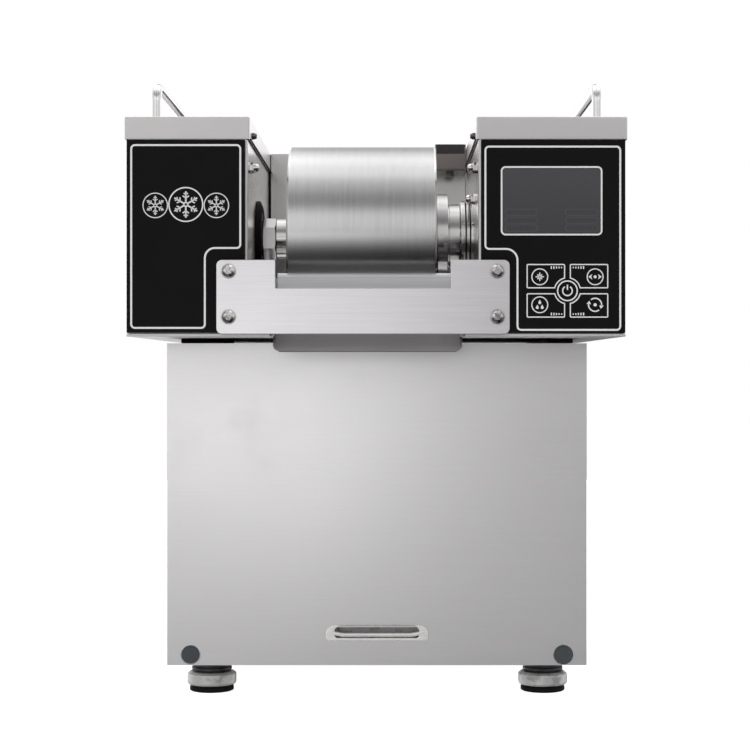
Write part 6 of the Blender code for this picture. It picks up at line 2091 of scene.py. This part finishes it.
    def build_right_bearing(self) -> None:
        """The bright bearing flange, with two grooves, and the black rings in them."""
        span = Span.of("right_bearing")
        radius, bore = span.size.z / 2, self.journal_radius + RUN_GAP
        wall = Span.of("right_housing").low.x - SEAT_GAP
        spigot, groove, depth = 0.024, 0.0008, 0.0030
        thick = wall - span.low.x
        profile: list[tuple[float, ...]] = [
            (bore, span.high.x, 0.0),
            (spigot, span.high.x, SOFT),
            (spigot, wall, 0.0),
            (radius, wall, 0.0),
        ]
        for share in (0.76, 0.42):
            middle = span.low.x + thick * share
            profile += [
                (radius, middle + groove, THIN),
                (radius - depth, middle + groove, 0.0),
                (radius - depth, middle - groove, 0.0),
                (radius, middle - groove, THIN),
            ]
        profile += [(radius, span.low.x, FULL), (bore, span.low.x, 0.0)]
        flange = self.turn("bearing_flange_right", profile)
        self.dress(flange, Finishes.turned, replaces=["right_bearing"])
        rings = [
            self.turn(
                f"seal_{k}",
                [
                    (radius - depth, middle + groove * 0.7, 0.0),
                    (radius - depth * 0.55, middle + groove * 0.7, HAIR),
                    (radius - depth * 0.55, middle - groove * 0.7, HAIR),
                    (radius - depth, middle - groove * 0.7, 0.0),
                ],
            )
            for k, middle in enumerate(span.low.x + thick * share for share in (0.42, 0.76))
        ]
        self.dress(gather("bearing_seals", rings), Finishes.rubber)

    def build_rotary_joint(self) -> None:
        """The turning joint that feeds the drum, with grips round its body."""
        span = Span.of("rotary_joint")
        radius, bore = span.size.z / 2, self.journal_radius + RUN_GAP
        profile: list[tuple[float, ...]] = [(bore, span.high.x, 0.0), (radius, span.high.x, FULL)]
        for share in (0.78, 0.70, 0.62):
            x = span.low.x + span.size.x * share
            profile += [
                (radius, x + 0.0006, 0.0),
                (radius - 0.0010, x, 0.0),
                (radius, x - 0.0006, 0.0),
            ]
        profile += [
            (radius, span.low.x + 0.0060, 0.0010),
            (radius * 0.62, span.low.x, FULL),
            (bore * 0.5, span.low.x, 0.0),
            (bore * 0.5, span.high.x - 0.0072, 0.0),
            (bore, span.high.x - 0.0072, 0.0),
        ]
        self.dress(self.turn("rotary_union", profile), Finishes.machined, replaces=["rotary_joint"])


@dataclass
class LiquidSystem(SubAssembly):
    """The pan under the drum, the back plate, the supply tank and the nozzle."""

    tray_sheet: float = 0.0015
    tank_wall: float = 0.0025
    seal_radius: float = 0.0011

    def build(self) -> None:
        """Builds the wetted pieces."""
        tray = Span.of("liquid_tray")
        pan_piece = pan("wetting_pan", tray.low, tray.high, self.tray_sheet, [(0, 0, 1)], 0.006)
        self.dress(pan_piece, Finishes.tray, replaces=["liquid_tray"])
        self.dress(refined("back_plate"), Finishes.bay, replaces=["back_plate"])
        self.build_corner_seals()
        tank = Span.of("supply_tank")
        vessel = pan("liquid_tank", tank.low, tank.high, self.tank_wall, [(0, 0, 1)], 0.008, FULL)
        self.dress(vessel, Finishes.tank, replaces=["supply_tank"])
        self.dress(refined("tank_lid", 0.0007, 3), Finishes.tank, "tank_cover", ["tank_lid"])
        self.build_nozzle()

    def build_corner_seals(self) -> None:
        """Black strips in the bay's rear corners, up the back plate's sides."""
        back, radius = Span.of("back_plate"), self.seal_radius
        nozzle = Span.of("supply_nozzle")
        y, low = back.low.y - radius - SKIN_GAP, back.low.z + 0.0006
        wall_left, wall_right = Span.of("left_housing").high.x, Span.of("right_housing").low.x
        for name, x, high in (
            ("corner_seal_left", wall_left + radius + SKIN_GAP, back.high.z - 0.001),
            ("corner_seal_right", wall_right - radius - SKIN_GAP, nozzle.low.z - 0.001),
        ):
            strip = bar(name, [Vector((x, y, low)), Vector((x, y, high))], radius)
            self.dress(strip, Finishes.rubber)

    def build_nozzle(self) -> None:
        """The smoked block, with the parting line of its cover."""
        nozzle = refined("supply_nozzle", FULL, 3)
        self.dress(nozzle, Finishes.smoked, replaces=["supply_nozzle"])
        span = Span.of("supply_nozzle")
        front, top = span.low.y, span.high.z
        cover = pan(
            "nozzle_cover",
            (span.low.x + SKIN_GAP, front + SKIN_GAP, top - 0.0100),
            (span.high.x - SKIN_GAP, front + 0.0446, top - 0.0004),
            0.0009,
            [(0, 0, -1), (0, 1, 0)],
            0.0020,
        )
        cover_up = moved(cover, Matrix.Translation((0.0, -0.0003, HAIR)))
        self.dress(cover_up, Finishes.smoked_cap)


@dataclass
class Machinery(SubAssembly):
    """The cold side in the cabinet, and the drive and the board in the head."""

    fin_count: int = 44
    fin_sheet: float = 0.0005
    tube_radius: float = 0.0040
    tube_rows: int = 6
    blade_count: int = 5
    pipe_radius: float = 0.0045
    pipe_bend: float = 0.018
    lagging_radius: float = 0.0061
    sleeve_radius: float = 0.0056
    sleeve_length: float = 0.012
    dome_flatness: float = 0.45  # the can's dome, as a share of its radius
    dome_steps: int = 14
    seam_share: float = 0.56
    seam_proud: float = 0.0022
    seam_half: float = 0.0025
    flange_reach: float = 0.008  # the can's foot, past its wall
    flange_height: float = 0.004
    rotor_radius: float = 0.058
    blade_root: float = 0.017
    blade_sheet: float = 0.0012
    blade_depth: float = 0.0066
    motor_radius: float = 0.036
    rib_count: int = 14
    rib_pitch: float = 0.007
    rib_proud: float = 0.0016

    def build(self) -> None:
        """Builds the machinery."""
        self.build_compressor()
        self.build_condenser()
        self.build_fan()
        self.build_pipes()
        self.build_gearmotor()
        self.build_board()

    def build_compressor(self) -> None:
        """The welded can: dome, seam and foot, with its terminal cover."""
        span = Span.of("compressor")
        centre = (span.centre.x, span.centre.y, span.low.z)
        foot, height = span.size.x / 2, span.size.z
        radius = foot - self.flange_reach
        seam, steps = height * self.seam_share, self.dome_steps
        dome = [
            (radius * math.cos(a), height - radius * self.dome_flatness * (1 - math.sin(a)))
            for a in (math.pi / 2 * (1 - k / steps) for k in range(steps + 1))
        ]
        dome[0] = (0.0, height)
        profile = [
            *dome,
            (radius, seam + 0.004, SOFT),
            (radius + self.seam_proud, seam + self.seam_half, 0.0012),
            (radius + self.seam_proud, seam - self.seam_half, 0.0012),
            (radius, seam - 0.004, SOFT),
            (radius, 0.020, 0.006),
            (radius * 0.9, self.flange_height, 0.002),
            (foot, self.flange_height, 0.001),
            (foot, 0.0, MILD),
            (0, 0),
        ]
        can = turned("compressor_can", profile, Axis.Z, centre, 96)
        self.dress(can, Finishes.black_paint, replaces=["compressor"])
        x, y = span.centre.x + radius - 0.004, span.centre.y
        cover = block(
            "terminal_cover",
            (x - 0.010, y - 0.020, span.low.z + 0.050),
            (x + 0.010, y + 0.020, span.low.z + 0.105),
            0.003,
        )
        self.dress(cover, Finishes.plastic)

    def build_condenser(self) -> None:
        """Thin upright fins between two end plates, with tubes through them."""
        span = Span.of("condenser")
        fins = []
        pitch = (span.size.x - self.fin_sheet) / (self.fin_count - 1)
        for k in range(self.fin_count):
            left = span.low.x + k * pitch
            end = k in (0, self.fin_count - 1)
            inset = 0.0 if end else 0.0015
            low = (left, span.low.y + inset, span.low.z + inset)
            high = (left + self.fin_sheet, span.high.y - inset, span.high.z - inset)
            fins.append(block(f"fin_{k}", low, high, 0.0001, 1))
        self.dress(gather("condenser_fins", fins), Finishes.fins, replaces=["condenser"])
        tubes = []
        for k in range(self.tube_rows):
            z = span.low.z + span.size.z * (k + 0.5) / self.tube_rows
            ends = [(span.low.x + 0.0005, span.centre.y, z), (span.high.x - 0.0005, span.centre.y, z)]
            tubes.append(bar(f"tube_{k}", [Vector(end) for end in ends], self.tube_radius))
        self.dress(gather("condenser_tubes", tubes), Finishes.copper)

    def build_fan(self) -> None:
        """The frame, and the rotor with swept, pitched blades."""
        frame = refined("fan_frame", SOFT, 2)
        self.dress(frame, Finishes.plastic, replaces=["fan_frame"])
        span = Span.of("fan_rotor")
        centre = Span.of("fan_frame").centre
        middle = Vector((centre.x, span.centre.y, centre.z))
        hub = turned(
            "rotor_hub",
            [
                (0, -0.0070),
                (0.0150, -0.0070, 0.002),
                (0.0190, -0.0050, 0.002),
                (0.0190, 0.0070, FULL),
                (0, 0.0070),
            ],
            Axis.Y,
            middle,
            64,
        )
        blades = [self.fan_blade(k, middle) for k in range(self.blade_count)]
        rotor = gather("fan_wheel", [hub, *blades])
        self.dress(rotor, Finishes.plastic, "fan", ["fan_rotor"])

    def fan_blade(self, index: int, middle: Vector) -> bpy.types.Object:
        """One cambered blade, twisted from root to tip."""
        spans, chords = 10, 8
        points = []
        for i in range(spans + 1):
            share = i / spans
            reach = self.blade_root + (self.rotor_radius - self.blade_root) * share
            pitch = math.radians(38 - 18 * share)
            chord = 0.024 + 0.018 * math.sin(share * math.pi * 0.6)
            sweep = 0.16 * share
            for j in range(chords + 1):
                across = (j / chords - 0.5) * chord
                camber = 0.0022 * (1 - (2 * j / chords - 1) ** 2)
                angle = sweep + across * math.cos(pitch) / reach
                rise = across * math.sin(pitch) + camber
                depth = max(min(rise, self.blade_depth), -self.blade_depth)
                points.append((reach * math.sin(angle), depth, reach * math.cos(angle)))
        width = chords + 1
        faces = [
            (r * width + c, r * width + c + 1, (r + 1) * width + c + 1, (r + 1) * width + c)
            for r in range(spans)
            for c in range(chords)
        ]
        mesh = bpy.data.meshes.new(f"blade_{index}")
        mesh.from_pydata(points, [], faces)
        blade = new_piece(f"blade_{index}", mesh)
        wall = blade.modifiers.new("wall", "SOLIDIFY")
        wall.thickness = self.blade_sheet
        wall.offset = 0.0
        blade = settle(blade)
        spin = Matrix.Rotation(2 * math.pi * index / self.blade_count, 4, "Y")
        return moved(blade, Matrix.Translation(middle) @ spin)

    def build_pipes(self) -> None:
        """The copper suction and discharge pipes, with a brazed sleeve at each end."""
        routes = {
            "suction_pipe": self.suction_route(),
            "discharge_pipe": self.discharge_route(),
        }
        for node, route in routes.items():
            pipe = bar(f"{node}_tube", route, self.pipe_radius, 6)
            sleeves = [
                bar(
                    f"{node}_sleeve_{k}",
                    [a, a + (b - a).normalized() * self.sleeve_length],
                    self.sleeve_radius,
                    6,
                )
                for k, (a, b) in enumerate(((route[0], route[1]), (route[-1], route[-2])))
            ]
            self.dress(pipe, Finishes.copper, replaces=[node])
            self.dress(gather(f"{node}_sleeves", sleeves), Finishes.copper)
        self.build_lagging()

    def build_lagging(self) -> None:
        """Black foam round the suction pipe's upright, clear of the holes it passes."""
        span, top = Span.of("suction_pipe"), Span.of("cabinet_shell").high.z
        x, y = span.low.x + self.pipe_radius, span.low.y + self.pipe_radius
        ends = [Vector((x, y, top - 0.0120)), Vector((x, y, span.high.z - 0.0140))]
        self.dress(bar("suction_lagging", ends, self.lagging_radius, 6), Finishes.rubber)

    def suction_route(self) -> list[Vector]:
        """From the drum's turning joint down to the compressor."""
        span, can = Span.of("suction_pipe"), Span.of("compressor")
        x, y, radius = span.low.x + self.pipe_radius, span.low.y + self.pipe_radius, 0.066
        run = Span.of("cabinet_shell").high.z - 0.035
        rear = can.centre.y - radius * 0.45
        end = can.high.z - radius * 0.06
        corners = [
            (x, y, span.high.z),
            (x, y, run),
            (x, rear, run),
            (can.centre.x, rear, run),
            (can.centre.x, rear, end),
        ]
        return fillet(corners, self.pipe_bend, closed=False, steps=12)

    def discharge_route(self) -> list[Vector]:
        """From the compressor to the condenser."""
        span, can, cold = Span.of("discharge_pipe"), Span.of("compressor"), Span.of("condenser")
        radius = 0.066
        x = can.centre.x + radius * 0.45
        rise, inlet = span.high.z - self.pipe_radius, cold.high.z - 0.012
        rear = cold.low.y + 0.002
        corners = [
            (x, can.centre.y, can.high.z - radius * 0.06),
            (x, can.centre.y, rise),
            (x, rear, rise),
            (x, rear, inlet),
            (span.high.x, rear, inlet),
        ]
        radii = [0, self.pipe_bend, self.pipe_bend, self.pipe_bend * 0.8, 0]
        return fillet(corners, radii, closed=False, steps=12)

    def build_gearmotor(self) -> None:
        """The gearbox and its motor, with cooling ribs round the motor."""
        self.dress(refined("gearmotor", 0.001, 3), Finishes.grey_paint, replaces=["gearmotor"])
        span = Span.of("gearmotor")
        radius, crest = self.motor_radius, self.motor_radius + self.rib_proud
        centre = (span.low.x + radius + 0.002, 0.0, span.centre.z)
        first = span.high.y - 0.012
        ribs = [
            turned(
                f"rib_{k}",
                [
                    (radius - 0.001, y + 0.0008, 0.0),
                    (crest, y + 0.0006, THIN),
                    (crest, y - 0.0006, THIN),
                    (radius - 0.001, y - 0.0008, 0.0),
                ],
                Axis.Y,
                centre,
                56,
            )
            for k, y in enumerate(first - self.rib_pitch * i for i in range(self.rib_count))
        ]
        self.dress(gather("motor_ribs", ribs), Finishes.grey_paint)

    def build_board(self) -> None:
        """The control board and the small parts on it."""
        self.dress(refined("control_board", HAIR), Finishes.board, replaces=["control_board"])
        span = Span.of("control_board")
        back = span.low.y + 0.0016
        parts = []
        for k in range(7):
            x = span.low.x + 0.008 + k * 0.0095
            low = (x, back, span.low.z + 0.006)
            high = (x + 0.006, back + 0.003 + 0.0008 * (k % 3), span.low.z + 0.014)
            parts.append(block(f"chip_{k}", low, high, THIN))
        self.dress(gather("board_chips", parts), Finishes.plastic)


# ---------------------------------------------------------------- surroundings
@dataclass
class Studio:
    """The floor, the soft light and the camera."""

    floor_radius: float = 3.2
    floor_glow: float = 0.85
    sky: float = 1.0
    slope: float = 1.9  # how much brighter the left of the backdrop is than the right
    valley: float = 0.75  # how much darker the middle of the backdrop is than its sides
    turn: Limits = (-0.20, 0.30)  # where the backdrop ahead gives way to the one behind
    low_edge: Limits = (0.02, 0.11)
    near_edge: Limits = (0.45, 0.85)
    slope_edge: Limits = (-0.13, 0.13)
    valley_edge: Limits = (0.02, 0.17)
    ahead: tuple[tuple[float, float], ...] = (
        (-90, 0.06),
        (-40, 0.012),
        (-24, 0.02),
        (-17, 0.06),
        (-12, 0.14),
        (-6, 0.29),
        (1, 0.56),
        (7, 0.70),
        (13, 0.82),
        (26, 0.84),
        (32, 0.62),
        (38, 0.36),
        (44, 0.30),
        (50, 0.34),
        (57, 0.47),
        (65, 0.62),
        (74, 0.80),
        (90, 1.25),
    )
    behind: tuple[tuple[float, float], ...] = (
        (-90, 0.10),
        (-20, 0.30),
        (0, 0.90),
        (4, 1.25),
        (9, 1.25),
        (16, 0.90),
        (26, 0.74),
        (36, 0.76),
        (50, 1.20),
        (67, 1.65),
        (80, 1.45),
        (90, 1.25),
    )
    lamps: tuple[tuple[Any, ...], ...] = (
        ("key_box", (-0.17, -1.10, 0.25), (0.0, -0.14, 0.20), 0.40, 0.66),
    )
    flagged: tuple[str, ...] = (  # the plates the soft box is let fall on
        "front_panel_eased",
        "cross_bracket",
    )
    camera_place: tuple[float, float, float] = (0.0146, -1.8311, 0.2976)
    lens: float = 89.6
    shift: tuple[float, float] = (-0.024, -0.0093)

    def build(self) -> None:
        """Builds the surroundings."""
        scene = bpy.context.scene
        scene.view_settings.view_transform = "Standard"
        self.build_floor()
        self.build_sky(scene)
        self.build_lamps(scene)
        self.build_camera(scene)

    def build_floor(self) -> None:
        """A pale round floor."""
        rim = circle(0.0, 0.0, self.floor_radius, 96)
        floor = plate("floor", [rim], Axis.Z, -0.02, 0.0, 0.002)
        material = bpy.data.materials.new("pale_floor")
        tree = Tree(material)
        cloud = tree.noise(tree.place(), 3.0, 3.0, 0.5)
        shader = tree.make(
            "ShaderNodeBsdfPrincipled",
            {},
            {
                "Base Color": tree.mix(cloud, (0.86, 0.86, 0.86), (0.90, 0.90, 0.90)),
                "Roughness": 0.9,
                "Emission Color": (1.0, 1.0, 1.0, 1.0),
                "Emission Strength": self.floor_glow,
            },
        )
        tree.make("ShaderNodeOutputMaterial", {}, {"Surface": shader})
        floor.data.materials.append(material)
        floor.visible_glossy = False

    def build_sky(self, scene: bpy.types.Scene) -> None:
        """A white backdrop whose reflections carry soft bands of light and shade."""
        world = bpy.data.worlds.new("studio")
        scene.world = world
        tree = Tree(world)
        way = tree.make("ShaderNodeTexCoord", output="Generated")
        height = tree.axis(way, "Z") * 0.5 + 0.5
        ahead = self.bands(tree, height, self.ahead)
        behind = self.bands(tree, height, self.behind)
        facing = tree.step(tree.axis(way, "Y"), *self.turn)
        bands = tree.mix(facing, ahead, behind)
        side = tree.axis(way, "X")
        low = 1 - tree.step(tree.axis(way, "Z"), *self.low_edge)
        near = 1 - tree.step(abs(side), *self.near_edge)
        slope = near * (0.5 - tree.step(side, *self.slope_edge)) * low
        valley = near * (1 - low) * (0.5 - tree.step(abs(side), *self.valley_edge))
        across = slope * self.slope - valley * self.valley + 1.0
        tint = tree.make("ShaderNodeCombineColor", {}, {0: across, 1: across * 0.99, 2: across})
        lit = tree.make(
            "ShaderNodeMix",
            {"data_type": "RGBA", "blend_type": "MULTIPLY"},
            {0: 1.0, 6: bands, 7: tint},
            output=2,
        )
        seen = tree.make("ShaderNodeLightPath", output="Is Camera Ray")
        colour = tree.mix(seen, lit, (1.0, 1.0, 1.0))
        sky = tree.make("ShaderNodeBackground", {}, {"Color": colour, "Strength": self.sky})
        tree.make("ShaderNodeOutputWorld", {}, {"Surface": sky})

    def bands(self, tree: Tree, height: Value, angles: Sequence[tuple[float, float]]) -> Value:
        """Bands of light, from pairs of an angle above the horizon and a brightness."""
        stops = [((math.sin(math.radians(angle)) + 1) / 2, (tone,) * 3) for angle, tone in angles]
        return tree.make("ShaderNodeValToRGB", {"stops": stops}, {0: height})

    def build_lamps(self, scene: bpy.types.Scene) -> None:
        """A soft box before the machine on the left, flagged so that it lights its front plates."""
        for name, place, target, size, power in self.lamps:
            light = bpy.data.lights.new(name, "AREA")
            light.shape = "SQUARE"
            light.size = size
            light.energy = power
            lamp = bpy.data.objects.new(name, light)
            scene.collection.objects.link(lamp)
            lamp.location = place
            aim = Vector(target) - Vector(place)
            lamp.rotation_euler = aim.to_track_quat("-Z", "Y").to_euler()
            plates = bpy.data.collections.new("front_plates")
            for plate_name in self.flagged:
                if plate_name in bpy.data.objects:
                    plates.objects.link(bpy.data.objects[plate_name])
            lamp.light_linking.receiver_collection = plates

    def build_camera(self, scene: bpy.types.Scene) -> None:
        """A long lens, level and square to the front."""
        data = bpy.data.cameras.new("camera")
        data.sensor_width = 36.0
        data.lens = self.lens
        data.shift_x, data.shift_y = self.shift
        data.clip_start, data.clip_end = 0.05, 50.0
        camera = bpy.data.objects.new("camera", data)
        scene.collection.objects.link(camera)
        camera.location = self.camera_place
        camera.rotation_euler = (math.pi / 2, 0.0, 0.0)
        scene.camera = camera


# ---------------------------------------------------------------- the whole machine
def dress_frame(frame: dict[str, Any]) -> None:
    """Gives every node that still shows the finish of its material slot.

    Args:
        frame: What the frame's load returned.
    """
    for name, node in frame["nodes"].items():
        if node.hide_render:
            continue
        for slot in node.material_slots:
            base = slot.material.name.split(".")[0] if slot.material else ""
            finish = Finishes.by_slot.get(base, Finishes.side)
            slot.material = Finishes.material(finish)
        LOG.info("%s: carried over", name)


def main() -> None:
    """Builds the machine round its frame."""
    logging.basicConfig(level=logging.INFO, format="%(name)s %(message)s")
    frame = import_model()
    for assembly in (
        Cabinet(),
        AccessPanel(),
        Feet(),
        Head(),
        ControlFront(),
        FrontEnd(),
        DrumLine(),
        LiquidSystem(),
        Machinery(),
    ):
        assembly.build()
        LOG.info("%s: %d pieces", type(assembly).__name__, len(assembly.made))
    dress_frame(frame)
    Studio().build()


if __name__ == "__main__":
    main()
